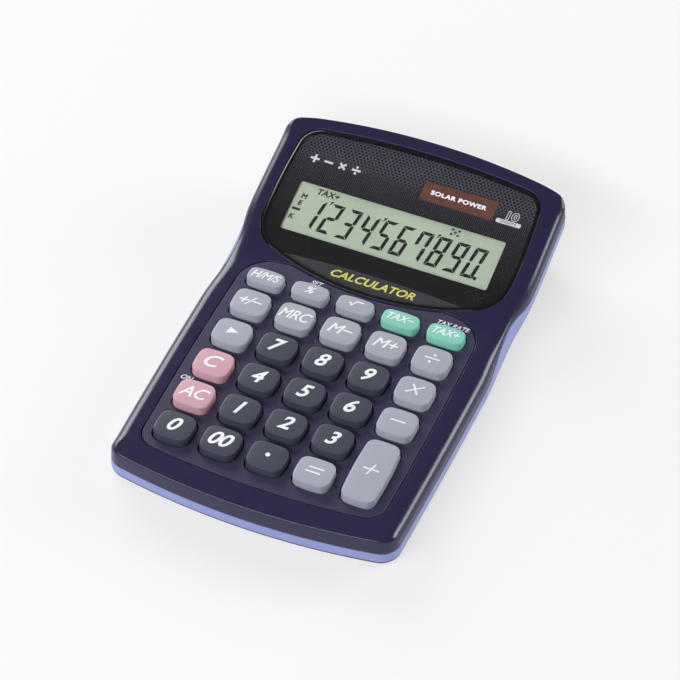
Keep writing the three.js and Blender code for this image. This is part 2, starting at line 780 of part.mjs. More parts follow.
// A flat ribbon from under the board to the back of the display glass, drawn as its side view
function makeRibbon() {
  const low = PCB_HEIGHT - REST_GAP - RIBBON_THICKNESS;
  const reach = LCD_VIEW_START + LCD_VIEW_DEPTH / 3;
  const depth = LCD_FOOT - REST_GAP - RIBBON_THICKNESS;
  const end = [
    BEND_Y + reach * Math.cos(DISPLAY_TILT) - depth * Math.sin(DISPLAY_TILT),
    KEYPAD_HEIGHT + reach * Math.sin(DISPLAY_TILT) + depth * Math.cos(DISPLAY_TILT),
  ];
  const route = [
    [BOARD_BACK - 8, low],
    [BOARD_BACK + 1.5, low],
    [BAY_Y - BAY_HALF[1] - 2, BAY_TOP + 0.8],
    [end[0] - 1, end[1] - 2.5],
    end,
  ];
  const shape = new THREE.Shape();
  route.forEach(([y, z], i) => (i === 0 ? shape.moveTo(y, z) : shape.lineTo(y, z)));
  [...route].reverse().forEach(([y, z]) => shape.lineTo(y - RIBBON_THICKNESS * 0.6, z + RIBBON_THICKNESS));
  const geometry = new THREE.ExtrudeGeometry(shape, { depth: RIBBON_WIDTH, bevelEnabled: false });
  geometry.applyMatrix4(new THREE.Matrix4().makeBasis(
    new THREE.Vector3(0, 1, 0),
    new THREE.Vector3(0, 0, 1),
    new THREE.Vector3(1, 0, 0),
  ));
  geometry.translate(-RIBBON_WIDTH / 2, 0, 0);
  return toGeometry(toSolid(geometry));
}

addPart('display_ribbon', makeRibbon(), 'ribbon');

// ---------------------------------------------------------------- middle frame and gasket

const TONGUE_INSET = SIDE_WALL + REST_GAP;
const TONGUE_WALL = 1.2;
const INNER_INSET = TONGUE_INSET + TONGUE_WALL;
const SHELF = 2.0;
const BAND_WALL = 2.4;
const BAND_SHOULDER = 1.3;
const BAND_CURVE = 0.35;
const TONGUE_RISE = 1.2;

function makeMiddleFrame() {
  const top = (y) => seam(y) - SEAM_GAP;
  const tongueTop = (y) => Math.min(seam(y) + TONGUE_RISE, upperFace(y) - TOP_WALL - REST_GAP);
  return hoop([
    ring(CASE, 0, bandFoot),
    ring(CASE, 0, (y) => top(y) - BAND_SHOULDER),
    ring(CASE, (p) => seamInset(p) * BAND_CURVE, (y) => top(y) - BAND_SHOULDER * BAND_CURVE),
    ring(CASE, seamInset, top),
    ring(CASE, TONGUE_INSET, top),
    ring(CASE, TONGUE_INSET, tongueTop),
    ring(CASE, INNER_INSET, tongueTop),
    ring(CASE, INNER_INSET, (y) => bandFoot(y) + SHELF),
    ring(CASE, BAND_WALL, (y) => bandFoot(y) + SHELF),
    ring(CASE, BAND_WALL, bandFoot),
  ]);
}

addPart('middle_frame', makeMiddleFrame(), 'periwinkle');

const LIP_INSET = BAND_WALL + REST_GAP;
const LIP_TOP = 0.9;
const GASKET_GAP = 0.25;
const gasketFoot = (y) => bandFoot(y) + LIP_TOP + GASKET_GAP;
const gasketTop = (y) => bandFoot(y) + SHELF - GASKET_GAP;

addPart('case_gasket', hoop([
  ring(CASE, LIP_INSET, gasketFoot),
  ring(CASE, LIP_INSET, gasketTop),
  ring(CASE, INNER_INSET, gasketTop),
  ring(CASE, INNER_INSET, gasketFoot),
]), 'rubber');

// ---------------------------------------------------------------- bottom case

const RIM_INSET = 0.1;
const BASE_EDGE = 0.5;

function makeBottomCase() {
  const rim = (y) => bandFoot(y) - SEAM_GAP;
  const edgeTop = FLOOR_HEIGHT + BASE_EDGE;
  const lean = (p, z) => Math.max(0, rim(p.y) - z) * BASE_TAPER;
  const shell = toSolid(loft([
    ring(CASE, (p) => RIM_INSET + BASE_EDGE * 0.8 + lean(p, edgeTop), FLOOR_HEIGHT),
    ring(CASE, (p) => RIM_INSET + lean(p, edgeTop), edgeTop),
    ring(CASE, RIM_INSET, rim),
  ]));
  const lip = toSolid(hoop([
    ring(CASE, LIP_INSET, (y) => bandFoot(y) - 1),
    ring(CASE, LIP_INSET, (y) => bandFoot(y) + LIP_TOP),
    ring(CASE, INNER_INSET + 1, (y) => bandFoot(y) + LIP_TOP),
    ring(CASE, INNER_INSET + 1, (y) => bandFoot(y) - 1),
  ]));
  const inside = toSolid(loft([
    ring(INSIDE, (p) => INNER_INSET + lean(p, edgeTop), FLOOR_HEIGHT + FLOOR_WALL),
    ring(INSIDE, INNER_INSET, (y) => Math.max(bandFoot(y), FLOOR_HEIGHT + FLOOR_WALL) + 2 * OVERCUT),
  ]));
  const headRadius = SCREW_HEAD / 2 + SCREW_PLAY;
  const shankRadius = SCREW_SHANK / 2 + SCREW_PLAY;
  const footRadius = FOOT_DIAMETER / 2 + SCREW_PLAY;
  const overScrews = (radius, foot, top) => CASE_SCREWS.map(([, x, y]) => cylinder(x, y, radius, foot, top));
  const bosses = overScrews(BASE_BOSS_RADIUS, FLOOR_HEIGHT + 0.5, BASE_BOSS_TOP);
  const headHoles = overScrews(headRadius, -OVERCUT, HEAD_SEAT);
  const shankHoles = overScrews(shankRadius, -OVERCUT, BASE_BOSS_TOP + OVERCUT);
  const footPockets = FEET.map(([, x, y]) => (
    cylinder(x, y, footRadius, -OVERCUT, FLOOR_HEIGHT + FOOT_POCKET)
  ));
  const bay = box(
    [-BAY_HALF[0], BAY_Y - BAY_HALF[1], FLOOR_HEIGHT],
    [BAY_HALF[0], BAY_Y + BAY_HALF[1], BAY_TOP],
  );
  const coverPocket = box(
    [-COVER_WIDTH / 2 - FIT_GAP, BAY_Y - COVER_DEPTH / 2 - FIT_GAP, -OVERCUT],
    [COVER_WIDTH / 2 + FIT_GAP, BAY_Y + COVER_DEPTH / 2 + FIT_GAP, COVER_POCKET_TOP],
  );
  const coverScrewHole = cylinder(COVER_SCREW_X, BAY_Y, COVER_SHANK + SCREW_PLAY, 0, BAY_TOP + OVERCUT, 12);
  const openings = [...headHoles, ...shankHoles, ...footPockets, coverPocket, coverScrewHole];
  const body = join(cut(join(shell, lip), inside), ...bosses, bay);
  return toGeometry(cut(body, ...openings, cellRoom(BAY_TOP + OVERCUT)));
}

addPart('bottom_case', makeBottomCase(), 'base');

CASE_SCREWS.forEach(([place, x, y]) => {
  const headFoot = HEAD_SEAT - REST_GAP - SCREW_HEAD_HEIGHT;
  addPart(`case_screw_${place}`, screwGeometry(
    x, y, SCREW_HEAD / 2, headFoot, SCREW_HEAD_HEIGHT, SCREW_SHANK / 2, SCREW_TIP,
  ), 'steel');
});

FEET.forEach(([place, x, y]) => {
  const top = FLOOR_HEIGHT + FOOT_POCKET - REST_GAP;
  const radius = FOOT_DIAMETER / 2;
  const profile = [[0, 0], [radius - FOOT_CHAMFER, 0], [radius, FOOT_CHAMFER], [radius, top], [0, top]];
  const geometry = new THREE.LatheGeometry(profile.map(([r, z]) => new THREE.Vector2(r, z)), 16);
  geometry.rotateX(Math.PI / 2);
  geometry.translate(x, y, 0);
  addPart(`foot_${place}`, toGeometry(toSolid(geometry)), 'rubber');
});

// ---------------------------------------------------------------- battery bay

const COVER_TOP = FLOOR_HEIGHT + COVER_THICKNESS;
const SEAL_HALF = [COVER_WIDTH / 2 - 0.4, COVER_DEPTH / 2 - 0.4];

function makeCover() {
  const plate = box(
    [-COVER_WIDTH / 2, BAY_Y - COVER_DEPTH / 2, FLOOR_HEIGHT],
    [COVER_WIDTH / 2, BAY_Y + COVER_DEPTH / 2, COVER_TOP],
  );
  return toGeometry(cut(
    plate,
    cylinder(COVER_SCREW_X, BAY_Y, COVER_HEAD + SCREW_PLAY, 0, FLOOR_HEIGHT + COVER_HEAD_SEAT, 12),
    cylinder(COVER_SCREW_X, BAY_Y, COVER_SHANK + SCREW_PLAY, 0, COVER_TOP + OVERCUT, 12),
  ));
}

addPart('battery_cover', makeCover(), 'base');

addPart('battery_cover_seal', toGeometry(cut(
  box(
    [-SEAL_HALF[0], BAY_Y - SEAL_HALF[1], COVER_TOP + REST_GAP],
    [SEAL_HALF[0], BAY_Y + SEAL_HALF[1], COVER_POCKET_TOP - REST_GAP],
  ),
  cellRoom(BAY_TOP),
  cylinder(COVER_SCREW_X, BAY_Y, COVER_SHANK + SCREW_PLAY, 0, BAY_TOP, 12),
)), 'rubber');

addPart('battery_cover_screw', screwGeometry(
  COVER_SCREW_X, BAY_Y, COVER_HEAD, FLOOR_HEIGHT + 0.1, 0.5, COVER_SHANK, BAY_TOP - 0.5,
), 'steel');

const CELL_FOOT = COVER_POCKET_TOP + REST_GAP;
const CELL_TOP = CELL_FOOT + CELL_THICKNESS;
const CONTACT_LENGTH = 18;
const CONTACT_WIDTH = 6;
const CONTACT_THICKNESS = 0.3;

function makeCell() {
  const radius = CELL_DIAMETER / 2;
  const profile = [
    [0, CELL_FOOT],
    [radius - 0.3, CELL_FOOT],
    [radius, CELL_FOOT + 0.3],
    [radius, CELL_TOP - 0.4],
    [radius - 1.6, CELL_TOP],
    [0, CELL_TOP],
  ];
  const geometry = new THREE.LatheGeometry(profile.map(([r, z]) => new THREE.Vector2(r, z)), 20);
  geometry.rotateX(Math.PI / 2);
  geometry.translate(0, BAY_Y, 0);
  return toGeometry(toSolid(geometry));
}

addPart('coin_cell', makeCell(), 'steel');

addPart('cell_contact_negative', boxGeometry(
  [-CONTACT_WIDTH / 2, BAY_Y - CONTACT_LENGTH / 2, CELL_TOP + REST_GAP],
  [CONTACT_WIDTH / 2, BAY_Y + CONTACT_LENGTH / 2, CELL_TOP + REST_GAP + CONTACT_THICKNESS],
), 'steel');

addPart('cell_contact_positive', boxGeometry(
  [CELL_DIAMETER / 2 + 2 * REST_GAP, BAY_Y - 4, CELL_FOOT - 0.2],
  [CELL_DIAMETER / 2 + 2 * REST_GAP + CONTACT_THICKNESS + 0.1, BAY_Y + 4, CELL_TOP + 2 * REST_GAP],
), 'steel');

export default calculator;
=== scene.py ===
import json
import math

import bmesh
import bpy
from mathutils import Matrix, Vector
from mathutils.bvhtree import BVHTree


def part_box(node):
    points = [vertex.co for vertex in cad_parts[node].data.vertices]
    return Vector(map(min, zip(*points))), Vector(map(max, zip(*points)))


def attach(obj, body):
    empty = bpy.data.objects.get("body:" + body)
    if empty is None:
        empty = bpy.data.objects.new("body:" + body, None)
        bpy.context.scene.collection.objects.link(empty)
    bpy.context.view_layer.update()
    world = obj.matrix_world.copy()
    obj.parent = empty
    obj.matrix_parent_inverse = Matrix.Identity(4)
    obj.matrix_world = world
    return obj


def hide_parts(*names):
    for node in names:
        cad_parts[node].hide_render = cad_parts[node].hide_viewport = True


# The looks of a compact splash-proof desk calculator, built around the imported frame.
# Shapes are worked out in millimetres and turned into metres as each mesh is made.
# "Drop" is a depth below the case's upper face; "out" is a distance out of the display's face.

MM = 0.001

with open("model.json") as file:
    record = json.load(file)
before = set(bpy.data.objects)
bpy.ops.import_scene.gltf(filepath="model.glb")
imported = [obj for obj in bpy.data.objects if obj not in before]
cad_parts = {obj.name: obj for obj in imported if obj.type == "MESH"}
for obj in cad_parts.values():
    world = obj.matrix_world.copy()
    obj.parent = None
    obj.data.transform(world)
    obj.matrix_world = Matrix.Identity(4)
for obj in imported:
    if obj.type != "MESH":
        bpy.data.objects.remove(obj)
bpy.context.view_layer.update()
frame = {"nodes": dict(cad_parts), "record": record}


def box_mm(node):
    low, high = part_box(node)
    return low / MM, high / MM


# ---- sizes

BAND_LOW, BAND_HIGH = box_mm("middle_frame")
FRONT_Y = BAND_LOW.y
BACK_Y = BAND_HIGH.y
PANEL_LOW = box_mm("keypad_panel")[0]
WINDOW_LOW, WINDOW_HIGH = box_mm("display_window")
KEY_LOW, KEY_HIGH = box_mm("key_5")
KEY_TOP = KEY_HIGH.z
FLOOR_HEIGHT = box_mm("bottom_case")[0].z

# The case, as its source has it
CASE_WIDTH = 109.4
CASE_WIDEST_Y = 22.9
WAIST_PINCH = 1.1
DISPLAY_FLARE = 0.8
KEYPAD_HEIGHT = 12.4
DISPLAY_TILT = math.radians(16.7)
BEND_Y = 22.9
BEND_REACH = 5.5
TOP_CASE_DEPTH = 6.3
BAND_HEIGHT = 4.2
WAVE_RISE = 4.1
WAVE_Y = 24.7
WAVE_FRONT_REACH = 25
WAVE_BACK_REACH = 18
WAVE_SCALLOP = 1.2
TOP_DRAFT = 0.2
SEAM_INSET = 0.15
LEAST_SIDE = 0.4
SIDE_EDGE_ROUND = 4.8
END_EDGE_ROUND = 0.9
EDGE_BLEND = 14
TOP_WALL = 3.6
SIDE_WALL = 2.5
SEAM_GAP = 0.3
FIT_GAP = 0.35
PANEL_PROUD = -0.1
PLATE_THICKNESS = 1.6
PLATE_SEAT = 2.0
WINDOW_RIB = 0.6
KEY_CLEARANCE = 0.45
BASE_TAPER = math.tan(math.radians(20))
OVERCUT = 2.0

LCD_VIEW_HALF = 39.8
LCD_VIEW_START = 13.95
LCD_VIEW_END = LCD_VIEW_START + 20.4
SOLAR_LEFT = 2.85
SOLAR_RIGHT = 31.55
SOLAR_START = 40.9
SOLAR_END = 49.0
LCD_OUT = -2.07


# ---- shape of the case

def smoothstep(t):
    t = max(0.0, min(1.0, t))
    return t * t * (3 - 2 * t)


def upper_face(y):
    t = y - BEND_Y
    if t <= -BEND_REACH:
        return KEYPAD_HEIGHT
    if t >= BEND_REACH:
        return KEYPAD_HEIGHT + math.tan(DISPLAY_TILT) * t
    return KEYPAD_HEIGHT + math.tan(DISPLAY_TILT) * (t + BEND_REACH) ** 2 / (4 * BEND_REACH)


def wave(y):
    """0 away from the grips at the waist, 1 where the seam between the cases rises highest."""
    reach = WAVE_FRONT_REACH if y < WAVE_Y else WAVE_BACK_REACH
    return 0.5 + 0.5 * math.cos(math.pi * min(1.0, abs(y - WAVE_Y) / reach))


def seam(y):
    return upper_face(y) - TOP_CASE_DEPTH + WAVE_RISE * wave(y)


def band_foot(y):
    return upper_face(y) - TOP_CASE_DEPTH - BAND_HEIGHT


def sideward(x, y):
    """1 along the long sides, 0 round the two ends."""
    along = smoothstep(min(y - FRONT_Y, BACK_Y - y) / EDGE_BLEND)
    across = (abs(x) / (CASE_WIDTH / 2) - 0.8) / 0.14
    return along * max(0.0, min(1.0, across))


def seam_inset(x, y):
    return SEAM_INSET + WAVE_SCALLOP * wave(y) * sideward(x, y)


def outline(spec, inset=0.0):
    """Points of four arcs and four round corners, anticlockwise from the middle of the front."""
    side_radius = spec["side_radius"] - inset
    side = Vector((spec["width"] / 2 - inset - side_radius, spec["widest_y"]))
    ends = []
    for edge, radius, corner, sign in (
        (spec["front"] + inset, spec["front_radius"] - inset, spec["front_corner"] - inset, 1),
        (spec["back"] - inset, spec["back_radius"] - inset, spec["back_corner"] - inset, -1),
    ):
        corner = max(corner, spec["least_corner"])
        centre = Vector((0.0, edge + sign * radius))
        a = radius - corner
        b = side_radius - corner
        gap = side - centre
        d = gap.length
        along = (a * a - b * b + d * d) / (2 * d)
        across = math.sqrt(max(a * a - along * along, 0.0))
        unit = gap / d
        normal = Vector((-unit.y, unit.x)) * math.copysign(across, -unit.y)
        middle = centre + unit * along + normal
        on_end = centre + (middle - centre).normalized() * radius
        on_side = side + (middle - side).normalized() * side_radius
        ends.append((centre, radius, middle, corner, on_end, on_side))
    points = []

    def arc(centre, radius, start, end, steps):
        a0 = math.atan2(start.y - centre.y, start.x - centre.x)
        a1 = math.atan2(end.y - centre.y, end.x - centre.x)
        for i in range(1, steps + 1):
            a = a0 + (a1 - a0) * i / steps
            points.append(Vector((centre.x + radius * math.cos(a), centre.y + radius * math.sin(a))))

    low, high = ends
    points.append(Vector((0.0, spec["front"] + inset)))
    arc(low[0], low[1], points[0], low[4], spec["end_steps"])
    arc(low[2], low[3], low[4], low[5], spec["corner_steps"])
    for i in range(1, spec["side_steps"] + 1):
        y = low[5].y + (high[5].y - low[5].y) * i / spec["side_steps"]
        points.append(Vector((side.x + math.sqrt(side_radius ** 2 - (y - side.y) ** 2), y)))
    arc(high[2], high[3], high[5], high[4], spec["corner_steps"])
    arc(high[0], high[1], high[4], Vector((0.0, spec["back"] - inset)), spec["end_steps"])
    points[-1].x = 0.0
    if spec.get("waist"):
        for p in points[1:-1]:
            flare = smoothstep((p.y - WAVE_Y) / (1.4 * WAVE_BACK_REACH))
            p.x -= WAIST_PINCH * wave(p.y) - DISPLAY_FLARE * flare
    return points + [Vector((-p.x, p.y)) for p in reversed(points[1:-1])]


CASE = dict(
    width=CASE_WIDTH, front=FRONT_Y, back=BACK_Y, widest_y=CASE_WIDEST_Y, side_radius=3000,
    front_radius=268, back_radius=268, front_corner=7.5, back_corner=6, least_corner=4,
    waist=True, end_steps=20, corner_steps=10, side_steps=72,
)
INNER = dict(CASE, least_corner=2)
PANEL = dict(
    width=90.8, front=PANEL_LOW.y, back=24.1, widest_y=-22, side_radius=1500,
    front_radius=300, back_radius=400, front_corner=7, back_corner=12, least_corner=1,
    end_steps=14, corner_steps=12, side_steps=30,
)
KEY_OPENING = dict(
    PANEL, width=86.8, front=PANEL_LOW.y + 2.6, back=box_mm("key_hms")[1].y + 0.7,
    front_radius=620, back_radius=4000, back_corner=2.5, front_corner=3,
)
WINDOW = dict(
    width=WINDOW_HIGH.x - WINDOW_LOW.x, front=WINDOW_LOW.y, back=WINDOW_HIGH.y, widest_y=49,
    side_radius=190, front_radius=105, back_radius=328, front_corner=14, back_corner=8,
    least_corner=1, end_steps=24, corner_steps=14, side_steps=24,
)


def ring(spec, inset, height):
    """One loop of points; inset and height may be numbers or rules of (x, y) and of y."""
    if not callable(inset):
        flat = outline(spec, inset)
    else:
        base = outline(spec, 0.0)
        cache = {}
        flat = []
        for i, p in enumerate(base):
            d = round(inset(p.x, p.y), 4)
            if d not in cache:
                cache[d] = outline(spec, d)
            flat.append(cache[d][i])
    return [Vector((p.x, p.y, height(p.y) if callable(height) else height)) for p in flat]


def dropped(spec, inset, drop):
    return ring(spec, inset, lambda y: upper_face(y) - drop)


# ---- meshes

def linked(name, data):
    """A new object in the scene."""
    obj = bpy.data.objects.new(name, data)
    bpy.context.scene.collection.objects.link(obj)
    return obj


def mesh_object(name, points, faces):
    """A new object from points in millimetres."""
    mesh = bpy.data.meshes.new(name)
    mesh.from_pydata([Vector(p) * MM for p in points], [], faces)
    mesh.validate()
    return linked(name, mesh)


def cap_faces(count, offset, upward):
    """Strips from side to side that close a loop which is symmetrical about its first point."""
    faces = []
    for i in range(count // 2):
        quad = [i, i + 1, (count - i - 1) % count, (count - i) % count]
        loop = list(dict.fromkeys(quad))
        faces.append([offset + k for k in (loop if upward else reversed(loop))])
    return faces


def loft(name, rings, closed=False):
    """A body through loops listed from the bottom up, with caps, or a closed hoop."""
    count = len(rings[0])
    points = [p for r in rings for p in r]
    faces = []
    spans = len(rings) if closed else len(rings) - 1
    for level in range(spans):
        here = level * count
        there = (level + 1) % len(rings) * count
        for i in range(count):
            j = (i + 1) % count
            faces.append((here + i, here + j, there + j, there + i))
    if not closed:
        faces += cap_faces(count, 0, False)
        faces += cap_faces(count, (len(rings) - 1) * count, True)
    return mesh_object(name, points, faces)


def boolean(obj, cutter):
    """Cuts with Blender's exact solver and keeps the result; the cutter is used up."""
    modifier = obj.modifiers.new("boolean", "BOOLEAN")
    modifier.operation = "DIFFERENCE"
    modifier.solver = "EXACT"
    modifier.object = cutter
    graph = bpy.context.evaluated_depsgraph_get()
    result = bpy.data.meshes.new_from_object(obj.evaluated_get(graph))
    obj.modifiers.clear()
    obj.data = result
    bpy.data.objects.remove(cutter)
    return obj


def joined(name, objects):
    """One mesh object from several separate ones."""
    work = bmesh.new()
    for obj in objects:
        work.from_mesh(obj.data)
        bpy.data.objects.remove(obj)
    mesh = bpy.data.meshes.new(name)
    work.to_mesh(mesh)
    work.free()
    return linked(name, mesh)


def finish_mesh(obj, material, sharp=35, weighted=True):
    """Smooth shading with sharp edges past an angle, face-weighted normals, and the material."""
    obj.data.materials.clear()
    obj.data.materials.append(material)
    for polygon in obj.data.polygons:
        polygon.use_smooth = True
        polygon.material_index = 0
    obj.data.set_sharp_from_angle(angle=math.radians(sharp))
    if weighted:
        modifier = obj.modifiers.new("normals", "WEIGHTED_NORMAL")
        modifier.keep_sharp = True
        modifier.weight = 80
    return obj


def piece(obj, body, replaces=None):
    """Puts a finished piece on the body it rides on, and hides the imported part that it stands for."""
    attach(obj, body)
    if replaces:
        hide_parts(replaces)
    return obj


def quarter_round(steps):
    """Shares of a radius (inward, down from the top) from the foot of a quarter round to its top."""
    turns = [math.pi / 2 * i / steps for i in range(steps + 1)]
    return [(1 - math.cos(a), 1 - math.sin(a)) for a in turns]


def cylinder_rings(x, y, stations, sides=48):
    """Loops of a turned piece: stations are (radius, z) from the bottom up."""
    rings = []
    for radius, z in stations:
        turn = [2 * math.pi * i / sides - math.pi / 2 for i in range(sides)]
        rings.append([Vector((x + radius * math.cos(a), y + radius * math.sin(a), z)) for a in turn])
    return rings


def box_points(low, high):
    x0, y0, z0 = low
    x1, y1, z1 = high
    points = [(x, y, z) for z in (z0, z1) for x, y in ((x0, y0), (x1, y0), (x1, y1), (x0, y1))]
    faces = [(3, 2, 1, 0), (4, 5, 6, 7), (0, 1, 5, 4), (1, 2, 6, 5), (2, 3, 7, 6), (3, 0, 4, 7)]
    return points, faces


TILT = Matrix.Translation(Vector((0, BEND_Y, KEYPAD_HEIGHT))) @ Matrix.Rotation(DISPLAY_TILT, 4, "X")


def on_display(p):
    """From (x, distance up the slope, distance out of the display's face) into the frame."""
    return TILT @ Vector(p)


def rounded_rectangle(x0, y0, x1, y1, radius, steps=6):
    points = []
    corners = ((x1, y0, -90), (x1, y1, 0), (x0, y1, 90), (x0, y0, 180))
    for cx, cy, start in corners:
        mx = cx - math.copysign(radius, cx - (x0 + x1) / 2)
        my = cy - math.copysign(radius, cy - (y0 + y1) / 2)
        for i in range(steps + 1):
            a = math.radians(start + 90 * i / steps)
            points.append((mx + radius * math.cos(a), my + radius * math.sin(a)))
    return points


def prism(name, loop, low, high, place=Vector):
    """An upright prism over a flat loop, then put in place by a rule."""
    count = len(loop)
    points = [place((x, y, z)) for z in (low, high) for x, y in loop]
    faces = [tuple(reversed(range(count))), tuple(range(count, 2 * count))]
    for i in range(count):
        j = (i + 1) % count
        faces.append((i, j, j + count, i + count))
    return mesh_object(name, points, faces)


# ---- materials

def srgb(red, green, blue):
    """Linear colour of an sRGB triple from 0 to 255."""
    def linear(v):
        v /= 255
        return v / 12.92 if v <= 0.04045 else ((v + 0.055) / 1.055) ** 2.4
    return (linear(red), linear(green), linear(blue), 1.0)


class Nodes:
    """A small builder of node materials."""

    def __init__(self, name):
        self.material = bpy.data.materials.new(name)
        self.material.use_nodes = True
        self.tree = self.material.node_tree
        self.shader = self.tree.nodes["Principled BSDF"]

    def add(self, kind, **settings):
        node = self.tree.nodes.new(kind)
        inputs = settings.pop("inputs", {})
        for key, value in settings.items():
            setattr(node, key, value)
        for key, value in inputs.items():
            self.feed(node.inputs[key], value)
        return node

    def feed(self, socket, value):
        if isinstance(value, bpy.types.NodeSocket):
            self.tree.links.new(value, socket)
        else:
            socket.default_value = value

    def math(self, operation, a, b=0.0):
        node = self.add("ShaderNodeMath", operation=operation)
        for socket, value in zip(node.inputs, (a, b)):
            self.feed(socket, value)
        return node.outputs[0]

    def mix(self, factor, a, b):
        node = self.add("ShaderNodeMix", data_type="RGBA")
        self.feed(node.inputs["Factor"], factor)
        self.feed(node.inputs["A"], a)
        self.feed(node.inputs["B"], b)
        return node.outputs["Result"]

    def ramp(self, value, low, high, to_low=0.0, to_high=1.0, smooth=False):
        node = self.add("ShaderNodeMapRange", clamp=True)
        if smooth:
            node.interpolation_type = "SMOOTHSTEP"
        for key, number in (("Value", value), ("From Min", low), ("From Max", high),
                            ("To Min", to_low), ("To Max", to_high)):
            self.feed(node.inputs[key], number)
        return node.outputs["Result"]

    def noise(self, size_mm, detail=2.0, roughness=0.5, vector=None):
        node = self.add("ShaderNodeTexNoise", inputs={
            "Scale": 1 / (size_mm * MM), "Detail": detail, "Roughness": roughness,
            "Vector": vector or self.place(),
        })
        return node.outputs["Fac"]

    def place(self):
        return self.add("ShaderNodeTexCoord").outputs["Object"]

    def bump(self, height, depth_mm):
        node = self.add("ShaderNodeBump", inputs={
            "Strength": 1.0, "Distance": depth_mm * MM, "Height": height,
        })
        return node.outputs["Normal"]

    def look(self, socket, value):
        """Sets one input of the main shader, to a constant or to a node's result."""
        self.feed(self.shader.inputs[socket], value)


def scaled(colour, factor):
    return tuple(min(1.0, c * factor) for c in colour[:3]) + (1.0,)


def plastic(name, colour, roughness, grain_mm, grain_depth, variation, specular=0.5):
    """Moulded plastic: a fine spark-eroded grain, faint cloudiness, and handling marks in the gloss."""
    n = Nodes(name)
    cloud = n.noise(14, 3.0)
    speck = n.noise(grain_mm * 1.6, 1.0)
    tone = n.mix(n.ramp(cloud, 0.3, 0.7), scaled(colour, 1 - variation), scaled(colour, 1 + variation))
    colour_out = n.mix(n.ramp(speck, 0.35, 0.65, 0.0, 0.35), tone, scaled(colour, 1 - 1.5 * variation))
    n.look("Base Color", colour_out)
    smear = n.noise(6, 4.0, 0.65)
    n.look("Roughness", n.ramp(smear, 0.3, 0.75, roughness - 0.04, roughness + 0.05))
    n.look("Normal", n.bump(n.noise(grain_mm, 2.0), grain_depth))
    n.shader.inputs["Specular IOR Level"].default_value = specular
    return n.material


def ink(name, colour, roughness=0.45):
    """Pad-printed ink: slightly uneven coverage and a faint relief."""
    n = Nodes(name)
    patch = n.noise(0.9, 3.0)
    n.look("Base Color", n.mix(n.ramp(patch, 0.3, 0.8), colour, scaled(colour, 0.93)))
    n.look("Roughness", n.ramp(patch, 0.3, 0.7, roughness - 0.05, roughness + 0.05))
    n.look("Normal", n.bump(n.noise(0.12, 2.0), 0.003))
    return n.material


def clear_acrylic():
    """Clear window: it bends and mirrors light, and lets the lamps through to what lies behind it."""
    n = Nodes("window_acrylic")
    n.shader.inputs["Base Color"].default_value = (0.93, 0.94, 0.95, 1.0)
    n.shader.inputs["Transmission Weight"].default_value = 1.0
    n.shader.inputs["IOR"].default_value = 1.49
    haze = n.noise(9, 4.0, 0.6)
    n.look("Roughness", n.ramp(haze, 0.35, 0.75, 0.015, 0.045))
    n.look("Normal", n.bump(n.noise(30, 1.0), 0.01))
    path = n.add("ShaderNodeLightPath")
    clear = n.add("ShaderNodeBsdfTransparent")
    clear.inputs["Color"].default_value = (0.9, 0.9, 0.9, 1.0)
    blend = n.add("ShaderNodeMixShader")
    n.feed(blend.inputs[0], path.outputs["Is Shadow Ray"])
    n.feed(blend.inputs[1], n.shader.outputs[0])
    n.feed(blend.inputs[2], clear.outputs[0])
    n.feed(n.tree.nodes["Material Output"].inputs["Surface"], blend.outputs[0])
    return n.material


MESH_PITCH = 1.5
MESH_ROW = 1.12


def window_print():
    """Black back-printing: a dot mesh at the top that thins to fine lines and fades to black."""
    n = Nodes("window_print")
    where = n.add("ShaderNodeSeparateXYZ", inputs={0: n.add("ShaderNodeUVMap").outputs[0]})
    across = n.math("DIVIDE", where.outputs[0], MESH_PITCH)
    along = n.math("DIVIDE", where.outputs[1], MESH_ROW * 2)

    def centred(value, shift):
        return n.math("SUBTRACT", n.math("FRACT", n.math("ADD", value, shift)), 0.5)

    def dot_distance(shift):
        dx = n.math("MULTIPLY", centred(across, shift), MESH_PITCH)
        dy = n.math("MULTIPLY", centred(along, shift), MESH_ROW * 2)
        return n.math("SQRT", n.math("ADD", n.math("MULTIPLY", dx, dx), n.math("MULTIPLY", dy, dy)))

    nearest = n.math("MINIMUM", dot_distance(100.0), dot_distance(100.5))
    lattice = n.ramp(nearest, 0.4, 0.52, smooth=True)
    from_line = n.math("ABSOLUTE", centred(n.math("MULTIPLY", across, 2.0), 100.0))
    line = n.ramp(from_line, 0.26, 0.4, smooth=True)
    height = where.outputs[1]
    as_dots = n.ramp(height, 42.0, 47.0, smooth=True)
    pattern = n.math("ADD", n.math("MULTIPLY", lattice, as_dots),
                     n.math("MULTIPLY", line, n.math("SUBTRACT", 1.0, as_dots)))
    strength = n.math("MULTIPLY", pattern, n.ramp(height, 16.0, 48.0, 0.0, 1.0))
    n.look("Base Color", n.mix(strength, srgb(13, 13, 15), srgb(66, 63, 74)))
    n.shader.inputs["Specular IOR Level"].default_value = 0.04
    n.look("Roughness", n.ramp(n.noise(4, 3.0), 0.3, 0.7, 0.42, 0.52))
    return n.material


def lcd_face():
    """Grey-green polariser over a brushed reflector."""
    n = Nodes("lcd_face")
    stretched = n.add("ShaderNodeMapping", inputs={"Vector": n.place()})
    stretched.inputs["Scale"].default_value = (0.15, 1.0, 1.0)
    streak = n.noise(0.35, 2.0, vector=stretched.outputs[0])
    cloud = n.noise(25, 2.0)
    tone = n.mix(n.ramp(cloud, 0.3, 0.7), srgb(158, 169, 150), srgb(151, 163, 144))
    n.look("Base Color", n.mix(n.ramp(streak, 0.4, 0.7, 0.0, 0.25), tone, srgb(142, 154, 136)))
    n.look("Roughness", n.ramp(streak, 0.3, 0.7, 0.34, 0.42))
    return n.material


